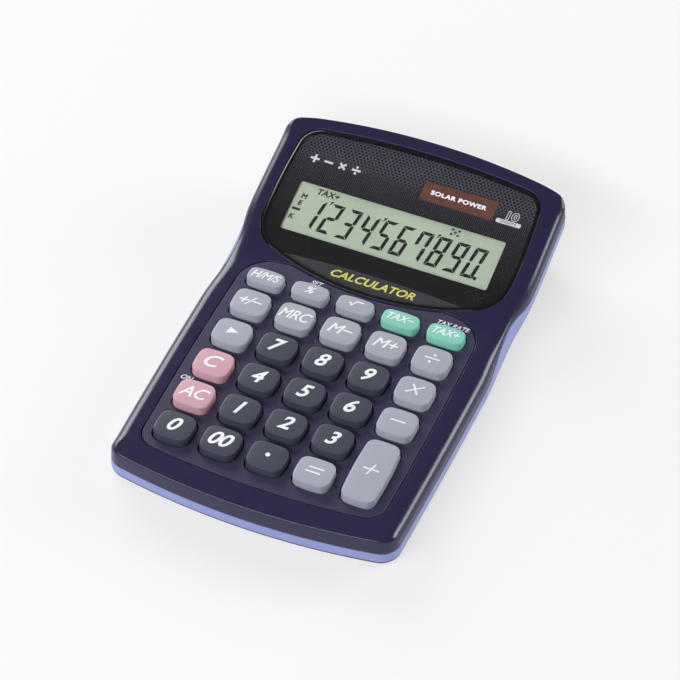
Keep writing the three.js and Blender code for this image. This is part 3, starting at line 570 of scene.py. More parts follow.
def solar_face():
    """Amorphous silicon: brown glass with faint marbling."""
    n = Nodes("solar_face")
    cloud = n.noise(3.5, 4.0, 0.6)
    n.look("Base Color", n.mix(n.ramp(cloud, 0.3, 0.7), srgb(98, 60, 47), srgb(84, 52, 43)))
    n.look("Roughness", n.ramp(cloud, 0.3, 0.7, 0.12, 0.2))
    return n.material


def steel():
    """Zinc-plated steel with fine turned streaks."""
    n = Nodes("zinc_steel")
    n.shader.inputs["Metallic"].default_value = 1.0
    patch = n.noise(1.4, 4.0, 0.6)
    n.look("Base Color", n.mix(n.ramp(patch, 0.3, 0.7), srgb(188, 190, 194), srgb(150, 152, 158)))
    n.look("Roughness", n.ramp(n.noise(0.3, 3.0), 0.3, 0.7, 0.26, 0.4))
    n.look("Normal", n.bump(n.noise(0.18, 2.0), 0.006))
    return n.material


def rubber(name, colour):
    n = Nodes(name)
    dust = n.noise(2.5, 5.0, 0.7)
    n.look("Base Color", n.mix(n.ramp(dust, 0.45, 0.8, 0.0, 0.5), colour, scaled(colour, 1.7)))
    n.look("Roughness", n.ramp(dust, 0.3, 0.7, 0.72, 0.88))
    n.look("Normal", n.bump(n.noise(0.25, 3.0), 0.02))
    return n.material


NAVY = plastic("navy_plastic", srgb(42, 39, 70), 0.2, 0.3, 0.002, 0.03, specular=0.36)
PANEL_BLUE = plastic("panel_plastic", srgb(60, 56, 84), 0.5, 0.22, 0.02, 0.05, specular=0.3)
PERIWINKLE = plastic("periwinkle_plastic", srgb(136, 146, 200), 0.42, 0.3, 0.008, 0.04)
BASE_GREY = plastic("base_plastic", srgb(88, 88, 103), 0.6, 0.4, 0.035, 0.06)
KEY_GREY = plastic("grey_key_plastic", srgb(166, 170, 182), 0.42, 0.2, 0.008, 0.03, specular=0.4)
KEY_DARK = plastic("dark_key_plastic", srgb(66, 69, 83), 0.42, 0.2, 0.008, 0.05, specular=0.35)
KEY_PINK = plastic("pink_key_plastic", srgb(208, 162, 177), 0.42, 0.2, 0.008, 0.03, specular=0.4)
KEY_GREEN = plastic("green_key_plastic", srgb(136, 207, 190), 0.42, 0.2, 0.008, 0.03, specular=0.4)
BLACK_PLASTIC = plastic("black_plastic", srgb(30, 30, 32), 0.5, 0.3, 0.015, 0.06)
RIM_BLACK = plastic("rim_black", srgb(16, 16, 18), 0.14, 0.5, 0.001, 0.04, specular=0.6)
BOARD_GREEN = plastic("solder_mask", srgb(38, 92, 58), 0.3, 0.5, 0.01, 0.08)
RIBBON_AMBER = plastic("ribbon_film", srgb(176, 130, 66), 0.3, 1.2, 0.02, 0.1)
RUBBER = rubber("foot_rubber", srgb(38, 38, 41))
SILICONE = rubber("mat_silicone", srgb(196, 196, 192))
STEEL = steel()
ACRYLIC = clear_acrylic()
PRINT = window_print()
LCD = lcd_face()
SOLAR = solar_face()
WHITE_INK = ink("white_ink", srgb(242, 243, 247))
SILVER_INK = ink("silver_ink", srgb(205, 207, 213), 0.35)
YELLOW_INK = ink("yellow_ink", srgb(214, 207, 104))
BADGE_INK = ink("badge_ink", srgb(48, 46, 52), 0.4)
SEGMENT_INK = ink("lcd_segment", srgb(14, 14, 14), 0.3)
SOLAR_LINE = ink("solar_line", srgb(52, 32, 27), 0.3)


# ---- lettering and print

PRINT_THICKNESS = 0.03
PRINT_STEP = 1.3


def text_mesh(body, height, shear=0.0, weight=0.05, spacing=1.0, stretch=1.0):
    """Flat lettering in millimetres, centred on its own box, with strokes thickened by a bevel."""
    curve = bpy.data.curves.new("lettering", "FONT")
    curve.body = body
    curve.size = height / 0.73
    curve.shear = shear
    curve.space_character = spacing
    curve.resolution_u = 5
    curve.bevel_depth = weight
    curve.bevel_resolution = 0
    obj = linked("lettering", curve)
    graph = bpy.context.evaluated_depsgraph_get()
    mesh = bpy.data.meshes.new_from_object(obj.evaluated_get(graph))
    bpy.data.objects.remove(obj)
    bpy.data.curves.remove(curve)
    xs = [v.co.x for v in mesh.vertices]
    ys = [v.co.y for v in mesh.vertices]
    middle = Vector(((min(xs) + max(xs)) / 2, (min(ys) + max(ys)) / 2, 0))
    flat = PRINT_THICKNESS / 2 / weight
    for v in mesh.vertices:
        v.co = Vector(((v.co.x - middle.x) * stretch, v.co.y - middle.y, v.co.z * flat))
    return mesh


def shapes_mesh(loops):
    """Flat print made of simple closed loops, given in millimetres."""
    work = bmesh.new()
    for loop in loops:
        low = [work.verts.new((x, y, -PRINT_THICKNESS / 2)) for x, y in loop]
        high = [work.verts.new((x, y, PRINT_THICKNESS / 2)) for x, y in loop]
        work.faces.new(list(reversed(low)))
        work.faces.new(high)
        for i in range(len(loop)):
            j = (i + 1) % len(loop)
            work.faces.new((low[i], low[j], high[j], high[i]))
    bmesh.ops.recalc_face_normals(work, faces=work.faces)
    mesh = bpy.data.meshes.new("print")
    work.to_mesh(mesh)
    work.free()
    return mesh


def bar(x, y, width, height, lean=0.0):
    half = width / 2
    return [
        (x - half - lean * height / 2, y - height / 2), (x + half - lean * height / 2, y - height / 2),
        (x + half + lean * height / 2, y + height / 2), (x - half + lean * height / 2, y + height / 2),
    ]


def disc(x, y, radius, steps=20):
    turn = [2 * math.pi * i / steps for i in range(steps)]
    return [(x + radius * math.cos(a), y + radius * math.sin(a)) for a in turn]


def put_down(name, mesh, material, centre, surface, body, lift=0.012):
    """Lays a flat print on the surface below it, following its crown."""
    work = bmesh.new()
    work.from_mesh(mesh)
    bmesh.ops.remove_doubles(work, verts=work.verts, dist=1e-5)
    for axis in (0, 1):
        values = [v.co[axis] for v in work.verts]
        at = min(values) + PRINT_STEP
        while at < max(values):
            where = Vector((0, 0, 0))
            where[axis] = at
            normal = Vector((0, 0, 0))
            normal[axis] = 1
            every = list(work.verts) + list(work.edges) + list(work.faces)
            bmesh.ops.bisect_plane(work, geom=every, dist=1e-6, plane_co=where, plane_no=normal)
            at += PRINT_STEP
    for v in work.verts:
        x = v.co.x + centre[0]
        y = v.co.y + centre[1]
        hit = surface.ray_cast(Vector((x * MM, y * MM, 0.06)), Vector((0, 0, -1)))[0]
        z = hit.z / MM if hit else KEYPAD_HEIGHT
        v.co = Vector((x, y, z + lift + v.co.z)) * MM
    work.to_mesh(mesh)
    work.free()
    obj = linked(name, mesh)
    finish_mesh(obj, material, sharp=30, weighted=False)
    return piece(obj, body)


def put_on_display(name, mesh, material, centre, out):
    """Lays a flat print on the display's plane, at a distance out of its face."""
    for v in mesh.vertices:
        v.co = on_display((v.co.x + centre[0], v.co.y + centre[1], out + v.co.z)) * MM
    obj = linked(name, mesh)
    finish_mesh(obj, material, sharp=30, weighted=False)
    return piece(obj, "case")


def surface_of(obj):
    work = bmesh.new()
    work.from_mesh(obj.data)
    tree = BVHTree.FromBMesh(work)
    work.free()
    return tree


# ---- camera, lights and floor

CAMERA_TARGET = Vector((0.00122, -0.00402, 0.01383))
CAMERA_AZIMUTH = math.radians(23.24)
CAMERA_ELEVATION = math.radians(47.68)
CAMERA_DISTANCE = 1.00947
CAMERA_LENS = 153.53


def make_camera():
    data = bpy.data.cameras.new("camera")
    data.lens = CAMERA_LENS
    data.sensor_width = 36
    camera = linked("camera", data)
    back = Vector((
        math.sin(CAMERA_AZIMUTH) * math.cos(CAMERA_ELEVATION),
        -math.cos(CAMERA_AZIMUTH) * math.cos(CAMERA_ELEVATION),
        math.sin(CAMERA_ELEVATION),
    ))
    camera.location = CAMERA_TARGET + back * CAMERA_DISTANCE
    camera.rotation_euler = (-back).to_track_quat("-Z", "Y").to_euler()
    bpy.context.scene.camera = camera


def area_light(name, direction, distance, size, power):
    """A soft panel at a distance from the object, facing it; its longer side lies level."""
    data = bpy.data.lights.new(name, "AREA")
    data.shape = "RECTANGLE"
    data.size, data.size_y = size
    data.energy = power
    light = linked(name, data)
    towards = Vector(direction).normalized()
    light.location = towards * distance
    light.rotation_euler = towards.to_track_quat("Z", "Y").to_euler()


def make_studio():
    area_light("front_softbox", (-0.266, -0.740, 0.618), 1.5, (1.9, 0.24), 21)
    area_light("left_softbox", (-0.70, 0.618, 0.36), 1.4, (0.95, 0.75), 15)
    area_light("right_softbox", (0.71, 0.618, 0.26), 1.4, (0.95, 0.5), 13)
    world = bpy.data.worlds.new("studio")
    world.use_nodes = True
    world.node_tree.nodes["Background"].inputs["Color"].default_value = (1.0, 1.0, 1.0, 1.0)
    world.node_tree.nodes["Background"].inputs["Strength"].default_value = 0.15
    bpy.context.scene.world = world
    bpy.context.scene.view_settings.view_transform = "Standard"


def make_floor():
    half = 3000
    points = [(-half, -half, 0), (half, -half, 0), (half, half, 0), (-half, half, 0)]
    floor = mesh_object("floor", points, [(0, 1, 2, 3)])
    n = Nodes("floor_paper")
    n.look("Base Color", n.mix(n.noise(300, 2.0), srgb(160, 160, 160), srgb(164, 164, 164)))
    n.shader.inputs["Emission Color"].default_value = (1.0, 1.0, 1.0, 1.0)
    n.shader.inputs["Emission Strength"].default_value = 0.57
    n.shader.inputs["Roughness"].default_value = 0.9
    n.shader.inputs["Specular IOR Level"].default_value = 0.0
    floor.data.materials.append(n.material)


make_camera()
make_studio()
make_floor()


# ---- top case

FILLET_STEPS = 10
END_BEVEL_SPREAD = 0.3
LIP_ROUND = 0.22
LIP_STEPS = 3


def soft_least(a, b, blend):
    """The lesser of two numbers, with a smooth change from one to the other."""
    h = max(0.0, min(1.0, 0.5 + 0.5 * (b - a) / blend))
    return b + (a - b) * h - blend * h * (1 - h)


def edge_ring(turn):
    """A loop of the top case's edge: a soft round along the sides, a narrow bevel at the ends."""
    bevel = turn
    if 0 < turn < math.pi / 2:
        bevel = math.pi / 4 + (turn - math.pi / 4) * END_BEVEL_SPREAD
    base = outline(CASE, 0.0)
    rules = []
    for p in base:
        side = sideward(p.x, p.y)
        wall = TOP_CASE_DEPTH - WAVE_RISE * wave(p.y) - LEAST_SIDE
        across = END_EDGE_ROUND + (SIDE_EDGE_ROUND - END_EDGE_ROUND) * side
        down = END_EDGE_ROUND + (soft_least(SIDE_EDGE_ROUND, wall, 1.2) - END_EDGE_ROUND) * side
        a = bevel + (turn - bevel) * side
        draft = TOP_DRAFT * (1 - wave(p.y)) + seam_inset(p.x, p.y)
        rules.append((round(draft + across * (1 - math.cos(a)), 4), down * (1 - math.sin(a))))
    loops = {inset: outline(CASE, inset) for inset, _ in set(rules)}
    points = []
    for i, (inset, drop) in enumerate(rules):
        q = loops[inset][i]
        points.append(Vector((q.x, q.y, upper_face(q.y) - drop)))
    return points


def recess_cutter(name, spec, gap, depth):
    """Cutter for a recess whose mouth is rounded over at the upper face."""
    rings = [dropped(spec, -gap, depth)]
    for inward, down in quarter_round(LIP_STEPS):
        rings.append(dropped(spec, -gap - LIP_ROUND * inward, LIP_ROUND * down))
    rings.append(dropped(spec, -gap - LIP_ROUND, -OVERCUT))
    return loft(name, rings)


def make_top_case():
    outer = [ring(CASE, seam_inset, seam)]
    outer += [edge_ring(math.pi / 2 * i / FILLET_STEPS) for i in range(FILLET_STEPS + 1)]
    inner = [dropped(CASE, SIDE_WALL, TOP_WALL), ring(CASE, SIDE_WALL, seam)]
    case = loft("top_case_shell", inner + outer)
    panel_cut = recess_cutter("panel_cut", PANEL, FIT_GAP, PLATE_SEAT)
    rib = loft("rib", [dropped(WINDOW, -FIT_GAP - WINDOW_RIB, d) for d in (6, -3)])
    boolean(panel_cut, rib)
    boolean(case, panel_cut)
    boolean(case, recess_cutter("window_cut", WINDOW, FIT_GAP, PLATE_SEAT))
    boolean(case, loft("key_opening", [ring(KEY_OPENING, 0, z) for z in (2, KEYPAD_HEIGHT + 5)]))
    for node in ("lcd_glass", "solar_cell"):
        boolean(case, opening_for(node))
    finish_mesh(case, NAVY, sharp=32)
    return piece(case, "case", "top_case")


def display_extent(node):
    """A display part's extent across and up the slope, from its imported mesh."""
    back = TILT.inverted()
    points = [back @ (v.co / MM) for v in frame["nodes"][node].data.vertices]
    return [(min(p[k] for p in points), max(p[k] for p in points)) for k in range(3)]


def opening_for(node):
    (x0, x1), (u0, u1), _ = display_extent(node)
    points, faces = box_points((x0 - FIT_GAP, u0 - FIT_GAP, -6), (x1 + FIT_GAP, u1 + FIT_GAP, 2))
    return mesh_object("opening", [on_display(p) for p in points], faces)


make_top_case()


# ---- keys

KEY_EDGE = ((0.25, 0.90), (0.30, 0.48), (0.34, 0.36), (0.44, 0.26), (0.60, 0.20), (0.95, 0.17))
CROWN = 0.16
KEY_MATERIALS = {"key_grey": KEY_GREY, "key_dark": KEY_DARK, "key_pink": KEY_PINK, "key_green": KEY_GREEN}
FLANGE_LIP = 1.1
FLANGE_TOP = KEY_LOW.z + 0.8


def key_spec(low, high):
    """A key's outline at the level of the panel, from its packed box, which its flange fills."""
    depth = high.y - low.y - 2 * FLANGE_LIP
    corner = min(3.3, depth * 0.33)
    return dict(
        width=high.x - low.x - 2 * FLANGE_LIP, front=-depth / 2, back=depth / 2, widest_y=0,
        side_radius=150 if depth > 14 else 32, front_radius=36, back_radius=36,
        front_corner=corner, back_corner=corner, least_corner=0.8,
        end_steps=8, corner_steps=8, side_steps=12,
    )


def make_key(name, slot):
    low, high = box_mm(name)
    spec = key_spec(low, high)
    middle = Vector(((low.x + high.x) / 2, (low.y + high.y) / 2, 0))
    levels = [(-FLANGE_LIP, low.z), (-FLANGE_LIP, FLANGE_TOP), (0, FLANGE_TOP)]
    levels += [(inset, KEY_TOP - drop) for inset, drop in KEY_EDGE]
    rings = [ring(spec, inset, z) for inset, z in levels]
    rim = rings[-1]
    for share in (0.85, 0.7, 0.5, 0.3, 0.12):
        rings.append([Vector((p.x * share, p.y * share, KEY_TOP - CROWN * share ** 2)) for p in rim])
    key = loft(name + "_cap", [[p + middle for p in r] for r in rings])
    finish_mesh(key, KEY_MATERIALS[slot], sharp=50, weighted=False)
    surface = surface_of(key)
    piece(key, name + "_body", name)
    return middle, surface


LEAN = 0.32
DIGIT_HEIGHT = 5.9
LETTER_HEIGHT = 4.6
SMALL_HEIGHT = 3.5


def sign(*bars, dots=()):
    return lambda: shapes_mesh([bar(*b) for b in bars] + [disc(*d) for d in dots])


def word(text, height, spacing=1.0, stretch=1.0, weight=0.07):
    return lambda: text_mesh(text, height, LEAN, weight, spacing, stretch)


def cross(size, thickness, lean=0.0):
    """Two crossing strokes as loops; they can lean to the right."""
    reach = size / 2
    half = thickness / math.sqrt(2)
    loops = [
        [(-reach, -reach + half), (-reach + half, -reach), (reach, reach - half), (reach - half, reach)],
        [(-reach, reach - half), (-reach + half, reach), (reach, -reach + half), (reach - half, -reach)],
    ]
    return [[(x + lean * y, y) for x, y in loop] for loop in loops]


def root_loops():
    stroke = 0.52
    points = [(-2.3, -0.1), (-1.8, 0.1), (-1.25, -1.1), (0.2, 1.25), (2.6, 1.25)]
    loops = []
    for (x0, y0), (x1, y1) in zip(points, points[1:]):
        d = Vector((x1 - x0, y1 - y0)).normalized() * stroke / 2
        side = Vector((-d.y, d.x))
        a = Vector((x0, y0)) - d * 0.6
        b = Vector((x1, y1)) + d * 0.6
        loops.append([tuple(a - side), tuple(b - side), tuple(b + side), tuple(a + side)])
    return loops


def digit_word(text):
    return word(text, DIGIT_HEIGHT, 0.95, 1.0, 0.2)


LEGENDS = {
    "key_hms": word("H/M/S", SMALL_HEIGHT, 0.94, 0.9),
    "key_percent": word("%", SMALL_HEIGHT - 0.2, weight=0.1),
    "key_root": lambda: shapes_mesh(root_loops()),
    "key_tax_minus": word("TAX−", SMALL_HEIGHT - 0.3, 0.94, 0.95),
    "key_tax_plus": word("TAX+", SMALL_HEIGHT - 0.3, 0.94, 0.95),
    "key_sign": word("+/−", LETTER_HEIGHT, 0.85, 1.1),
    "key_memory_recall": word("MRC", LETTER_HEIGHT, 0.94, 0.88),
    "key_memory_minus": word("M−", LETTER_HEIGHT, 0.94, 1.05),
    "key_memory_plus": word("M+", LETTER_HEIGHT, 0.94, 1.05),
    "key_divide": sign((0, 0, 5.6, 0.58), dots=((0.45, 1.7, 0.52), (-0.45, -1.7, 0.52))),
    "key_shift": lambda: shapes_mesh([[(-1.9, -1.55), (2.3, 0.0), (-1.3, 1.55)]]),
    "key_multiply": lambda: shapes_mesh(cross(4.7, 0.6, 0.35)),
    "key_clear": word("C", DIGIT_HEIGHT - 0.3, 1, 1.1, 0.12),
    "key_subtract": sign((0, 0, 5.6, 0.58)),
    "key_all_clear": word("AC", LETTER_HEIGHT + 0.4, 0.96, 1.0, 0.1),
    "key_add": sign((0, 0, 5.8, 0.58), (0, 0, 0.58, 5.0, 0.3)),
    "key_point": sign(dots=((0, 0, 0.85),)),
    "key_equals": sign((0.3, 1.0, 5.4, 0.6), (-0.3, -1.0, 5.4, 0.6)),
    "key_00": digit_word("00"),
}
LEGENDS.update({"key_" + d: digit_word(d) for d in "0123456789"})
LEGEND_RAISE = 0.35


def make_keys():
    for row in frame["record"]["subparts"]:
        name = row["node"]
        slot = row["material_slot"]
        if not name.startswith("key_"):
            continue
        middle, surface = make_key(name, slot)
        centre = (middle.x, middle.y + LEGEND_RAISE)
        put_down(name + "_legend", LEGENDS[name](), WHITE_INK, centre, surface, name + "_body")


make_keys()


# ---- keypad panel

def plate_rings(spec, inset, edge):
    """A plate that follows the upper face, with a small round along its upper edge."""
    top = -PANEL_PROUD
    rings = [dropped(spec, inset, top + PLATE_THICKNESS)]
    for inward, down in quarter_round(LIP_STEPS):
        rings.append(dropped(spec, inset + edge * inward, top + edge * down))
    return rings


def key_hole(name):
    """The opening of one key, its mouth rounded over."""
    low, high = box_mm(name)
    spec = key_spec(low, high)
    middle = Vector(((low.x + high.x) / 2, (low.y + high.y) / 2, 0))
    top = KEYPAD_HEIGHT + PANEL_PROUD
    levels = [(-KEY_CLEARANCE, top - PLATE_THICKNESS - 1)]
    for inward, down in quarter_round(LIP_STEPS):
        levels.append((-KEY_CLEARANCE - LIP_ROUND * inward, top - LIP_ROUND * down))
    levels.append((-KEY_CLEARANCE - LIP_ROUND, top + 1))
    return loft("hole", [[p + middle for p in ring(spec, inset, z)] for inset, z in levels])


PANEL_LABELS = (
    ("label_set", "SET", "key_percent", -0.2, 1.7, 1.9),
    ("label_tax_rate", "TAX RATE", "key_tax_plus", 0.4, 1.75, 1.9),
    ("label_on", "ON", "key_all_clear", -6.4, 0.75, 2.0),
)


def make_panel():
    panel = loft("keypad_panel_plate", plate_rings(PANEL, 0, LIP_ROUND))
    clear = loft("clear", [dropped(WINDOW, -2 * FIT_GAP - WINDOW_RIB, d) for d in (4, -3)])
    boolean(panel, clear)
    holes = [key_hole(n) for n in frame["nodes"] if n.startswith("key_")]
    boolean(panel, joined("holes", holes))
    finish_mesh(panel, PANEL_BLUE, sharp=32)
    surface = surface_of(panel)
    piece(panel, "case", "keypad_panel")
    for name, text, key, shift, gap, height in PANEL_LABELS:
        low, high = box_mm(key)
        centre = ((low.x + high.x) / 2 + shift, high.y - FLANGE_LIP + gap + height / 2)
        put_down(name, text_mesh(text, height, LEAN, 0.05), WHITE_INK, centre, surface, "case", 0.01)


make_panel()


# ---- window and its printing

PRINT_SHEET = 0.1
PANE_THICKNESS = PLATE_THICKNESS - PRINT_SHEET
RIM_WIDTH = 1.0
RIM_BEVEL = 0.55
RIM_BEVEL_DROP = 0.3
RIM_SOFTENING = 0.06


def make_pane():
    """The clear pane and the black bevelled rim round it, which catches the light."""
    top = -PANEL_PROUD
    foot = top + PANE_THICKNESS - 0.02
    pane = loft("window_pane", [dropped(WINDOW, RIM_WIDTH, foot), dropped(WINDOW, RIM_WIDTH, top)])
    finish_mesh(pane, ACRYLIC, sharp=32)
    piece(pane, "case", "display_window")
    profile = (
        (0, foot), (0, top + RIM_BEVEL_DROP), (RIM_SOFTENING, top + RIM_BEVEL_DROP - RIM_SOFTENING),
        (RIM_BEVEL, top + RIM_SOFTENING / 2), (RIM_BEVEL + 2 * RIM_SOFTENING, top),
        (RIM_WIDTH, top), (RIM_WIDTH, foot),
    )
    rim = loft("window_rim", [dropped(WINDOW, inset, drop) for inset, drop in profile], closed=True)
    finish_mesh(rim, RIM_BLACK, sharp=20)
    piece(rim, "case")


def map_display(obj):
    """Texture coordinates in millimetres across and up the display."""
    back = TILT.inverted()
    layer = obj.data.uv_layers.new(name="display")
    for loop in obj.data.loops:
        p = back @ (obj.data.vertices[loop.vertex_index].co / MM)
        layer.data[loop.index].uv = (p.x, p.y)


def make_print():
    drop = PANE_THICKNESS - PANEL_PROUD
    sheet = loft("window_print_sheet", [dropped(WINDOW, 0.05, d) for d in (drop + PRINT_SHEET, drop)])
    for x0, u0, x1, u1, radius in (
        (-LCD_VIEW_HALF, LCD_VIEW_START, LCD_VIEW_HALF, LCD_VIEW_END, 0.8),
        (SOLAR_LEFT, SOLAR_START, SOLAR_RIGHT, SOLAR_END, 0.3),
    ):
        boolean(sheet, prism("aperture", rounded_rectangle(x0, u0, x1, u1, radius), -4, 1, on_display))
    finish_mesh(sheet, PRINT, sharp=40, weighted=False)
    map_display(sheet)
    return piece(sheet, "case")


PRINT_OUT = -(PANE_THICKNESS - PANEL_PROUD) * math.cos(DISPLAY_TILT) + 0.03
OVERPRINT = 0.04
BADGE_HALF = 36.0
MARK_HEIGHT = 44.6
MARK_PLACES = (-38.6, -33.2, -27.8, -22.4)
TEN_CENTRE = (38.3, 44.9)


def badge_loop():
    """A lens between the window's lower edge and a flatter arc above it."""
    steps = 32
    edge = 1.1
    front = WINDOW["front"] + edge
    radius = WINDOW["front_radius"] - edge
    low = []
    high = []
    for i in range(steps + 1):
        x = -BADGE_HALF + 2 * BADGE_HALF * i / steps
        y = front + radius - math.sqrt(radius ** 2 - x ** 2)
        low.append((x, y))
    tip = low[0][1]
    for i in range(steps + 1):
        x = -BADGE_HALF + 2 * BADGE_HALF * i / steps
        high.append((x, tip + 1.5 * (1 - (x / BADGE_HALF) ** 2)))
    return low + list(reversed(high[1:-1]))


def make_badge():
    """The lens-shaped field under the display and the lettering on it."""
    work = shapes_mesh([badge_loop()])
    sheet = bpy.data.objects["window_print_sheet"]
    surface = surface_of(sheet)
    put_down("badge_field", work, BADGE_INK, (0, 0), surface, "case", 0.004)
    text = text_mesh("CALCULATOR", 3.0, LEAN, 0.09, 1.02, 1.2)
    put_down("badge_text", text, YELLOW_INK, (0.9, WINDOW["front"] + 6.0), surface, "case", 0.03)


def make_marks():
    """Generic marks above the display: four operators and the digit count."""
    plus_x, minus_x, times_x, divide_x = MARK_PLACES
    u = MARK_HEIGHT
    loops = [bar(plus_x, u, 3.4, 0.8), bar(plus_x, u + 1.05, 0.8, 1.3), bar(plus_x, u - 1.05, 0.8, 1.3)]
    loops += [bar(minus_x, u, 3.4, 0.8)]
    loops += [[(x + times_x, y + u) for x, y in loop] for loop in cross(2.9, 0.8)]
    loops += [bar(divide_x, u, 3.4, 0.8), disc(divide_x, u + 1.3, 0.5), disc(divide_x, u - 1.3, 0.5)]
    put_on_display("mark_operators", shapes_mesh(loops), SILVER_INK, (0, 0), PRINT_OUT)
    for name, weight, material, out in (
        ("mark_ten", 0.3, SILVER_INK, PRINT_OUT),
        ("mark_ten_core", 0.08, BADGE_INK, PRINT_OUT + OVERPRINT),
    ):
        put_on_display(name, text_mesh("10", 3.3, 0.06, weight, 1.05, 1.1), material, TEN_CENTRE, out)
    plate = rounded_rectangle(32.9, 41.1, 42.3, 42.8, 0.5, 4)
    put_on_display("mark_digits_plate", shapes_mesh([plate]), SILVER_INK, (0, 0), PRINT_OUT)
    put_on_display("mark_digits", text_mesh("DIGITS", 1.0, 0, 0.03, 1.1, 1.3), BADGE_INK,
                   (37.6, 41.95), PRINT_OUT + OVERPRINT)


def make_lcd():
    (x0, x1), (u0, u1), (low, high) = display_extent("lcd_glass")
    glass = prism("lcd_glass_plate", rounded_rectangle(x0, u0, x1, u1, 0.4, 4), low, high, on_display)
    finish_mesh(glass, LCD, sharp=30, weighted=False)
    return piece(glass, "case", "lcd_glass")


SEGMENTS = {
    "0": "abcdef", "1": "bc", "2": "abged", "3": "abgcd", "4": "fgbc",
    "5": "afgcd", "6": "afgedc", "7": "fabc", "8": "abcdefg", "9": "abcdfg",
}
DIGIT_PITCH = 6.95
SEG_WIDTH = 4.9
SEG_HEIGHT = 12.6
SEG_STROKE = 1.32
SEG_GAP = 0.12
SEG_LEAN = 0.17


def segment_loops(digit):
    """The lit segments of one digit, its lower left corner at the origin."""
    w, h, s, g = SEG_WIDTH, SEG_HEIGHT, SEG_STROKE, SEG_GAP
    m = h / 2
    c = s * 0.5
    shapes = {
        "a": [(g, h), (w - g, h), (w - s - g, h - s), (s + g, h - s)],
        "d": [(g, 0), (s + g, s), (w - s - g, s), (w - g, 0)],
        "f": [(0, h - g), (s, h - s - g), (s, m + c + g), (c, m + g), (0, m + c * 0.8 + g)],
        "e": [(0, g), (0, m - c * 0.8 - g), (c, m - g), (s, m - c - g), (s, s + g)],
        "b": [(w, h - g), (w, m + c * 0.8 + g), (w - c, m + g), (w - s, m + c + g), (w - s, h - s - g)],
        "c": [(w, g), (w - s, s + g), (w - s, m - c - g), (w - c, m - g), (w, m - c * 0.8 - g)],
        "g": [(c + g, m), (s + g, m + c), (w - s - g, m + c),
              (w - c - g, m), (w - s - g, m - c), (s + g, m - c)],
    }
    return [shapes[k] for k in SEGMENTS[digit]]


def make_lcd_content():
    """The number shown, with its separators, and the small annunciators."""
    loops = []
    start_x = -LCD_VIEW_HALF + 5.6
    base = LCD_VIEW_START + 2.9
    for i, digit in enumerate("1234567890"):
        for loop in segment_loops(digit):
            loops.append([(start_x + i * DIGIT_PITCH + x + SEG_LEAN * y, base + y) for x, y in loop])
        if i in (0, 3, 6):
            x = start_x + (i + 1) * DIGIT_PITCH - 1.15 + SEG_LEAN * SEG_HEIGHT
            top = base + SEG_HEIGHT + 0.6
            loops.append([(x - 0.3, top - 2.1), (x + 0.35, top), (x + 1.35, top)])
    loops.append(disc(start_x + 10 * DIGIT_PITCH - 1.2, base + 0.6, 0.72))
    out = LCD_OUT + 0.03
    put_on_display("lcd_digits", shapes_mesh(loops), SEGMENT_INK, (0, 0), out)
    put_on_display("lcd_tax", text_mesh("TAX+", 2.5, 0.15, 0.11), SEGMENT_INK,
                   (-LCD_VIEW_HALF + 11.6, LCD_VIEW_END - 2.0), out)
    for name, text, down in (("lcd_m", "M", 5.4), ("lcd_e", "E", 8.4), ("lcd_k", "K", 14.4)):
        put_on_display(name, text_mesh(text, 2.1, 0.15, 0.11), SEGMENT_INK,
                       (-LCD_VIEW_HALF + 4.3 - down * 0.16, LCD_VIEW_END - down), out)
    minus = bar(-LCD_VIEW_HALF + 2.4, LCD_VIEW_END - 11.1, 3.2, 1.0)
    frame_x = 21.0
    frame_u = LCD_VIEW_END - 1.9
    plus = [bar(frame_x, frame_u, 1.5, 0.4), bar(frame_x, frame_u, 0.4, 1.5)]
    corners = []
    for sx in (-1, 1):
        for su in (-1, 1):
            corners.append(bar(frame_x + sx * 1.25, frame_u + su * 0.95, 1.0, 0.8))
    put_on_display("lcd_signs", shapes_mesh([minus] + plus + corners), SEGMENT_INK, (0, 0), out)


def make_solar():
    (x0, x1), (u0, u1), (low, high) = display_extent("solar_cell")
    cell = prism("solar_cell_plate", rounded_rectangle(x0, u0, x1, u1, 0.3, 3), low, high, on_display)
    finish_mesh(cell, SOLAR, sharp=30, weighted=False)
    piece(cell, "case", "solar_cell")
    width = (SOLAR_RIGHT - SOLAR_LEFT) / 4
    lines = [bar(SOLAR_LEFT + width * k, (u0 + u1) / 2, 0.22, u1 - u0) for k in (1, 2, 3)]
    put_on_display("solar_lines", shapes_mesh(lines), SOLAR_LINE, (0, 0), high + 0.02)
    middle = ((SOLAR_LEFT + SOLAR_RIGHT) / 2 + 0.3, (SOLAR_START + SOLAR_END) / 2)
    label = text_mesh("SOLAR POWER", 1.7, 0, 0.09, 1.1, 1.25)
    put_on_display("solar_label", label, WHITE_INK, middle, PRINT_OUT)


make_pane()
make_print()
make_badge()
make_marks()
make_lcd()
make_lcd_content()
make_solar()


# ---- middle frame and base

TONGUE_INSET = SIDE_WALL + 0.3
INNER_INSET = TONGUE_INSET + 1.2
SHELF = 2.0
BAND_WALL = 2.4
BAND_SHOULDER = 1.3
SHOULDER_STEPS = 6
RIM_INSET = 0.1
BASE_ROUND = 1.2
BASE_ROUND_REACH = 1.1
BASE_STEPS = 5
FLOOR_THICKNESS = 1.8
WELL_RADIUS = 2.6
WELL_TOP = 5.0
FOOT_POCKET_RADIUS = 5.8
FOOT_POCKET_DEPTH = 0.7
POCKET_CORNER = 2.4
POCKET_TOP = 3.7


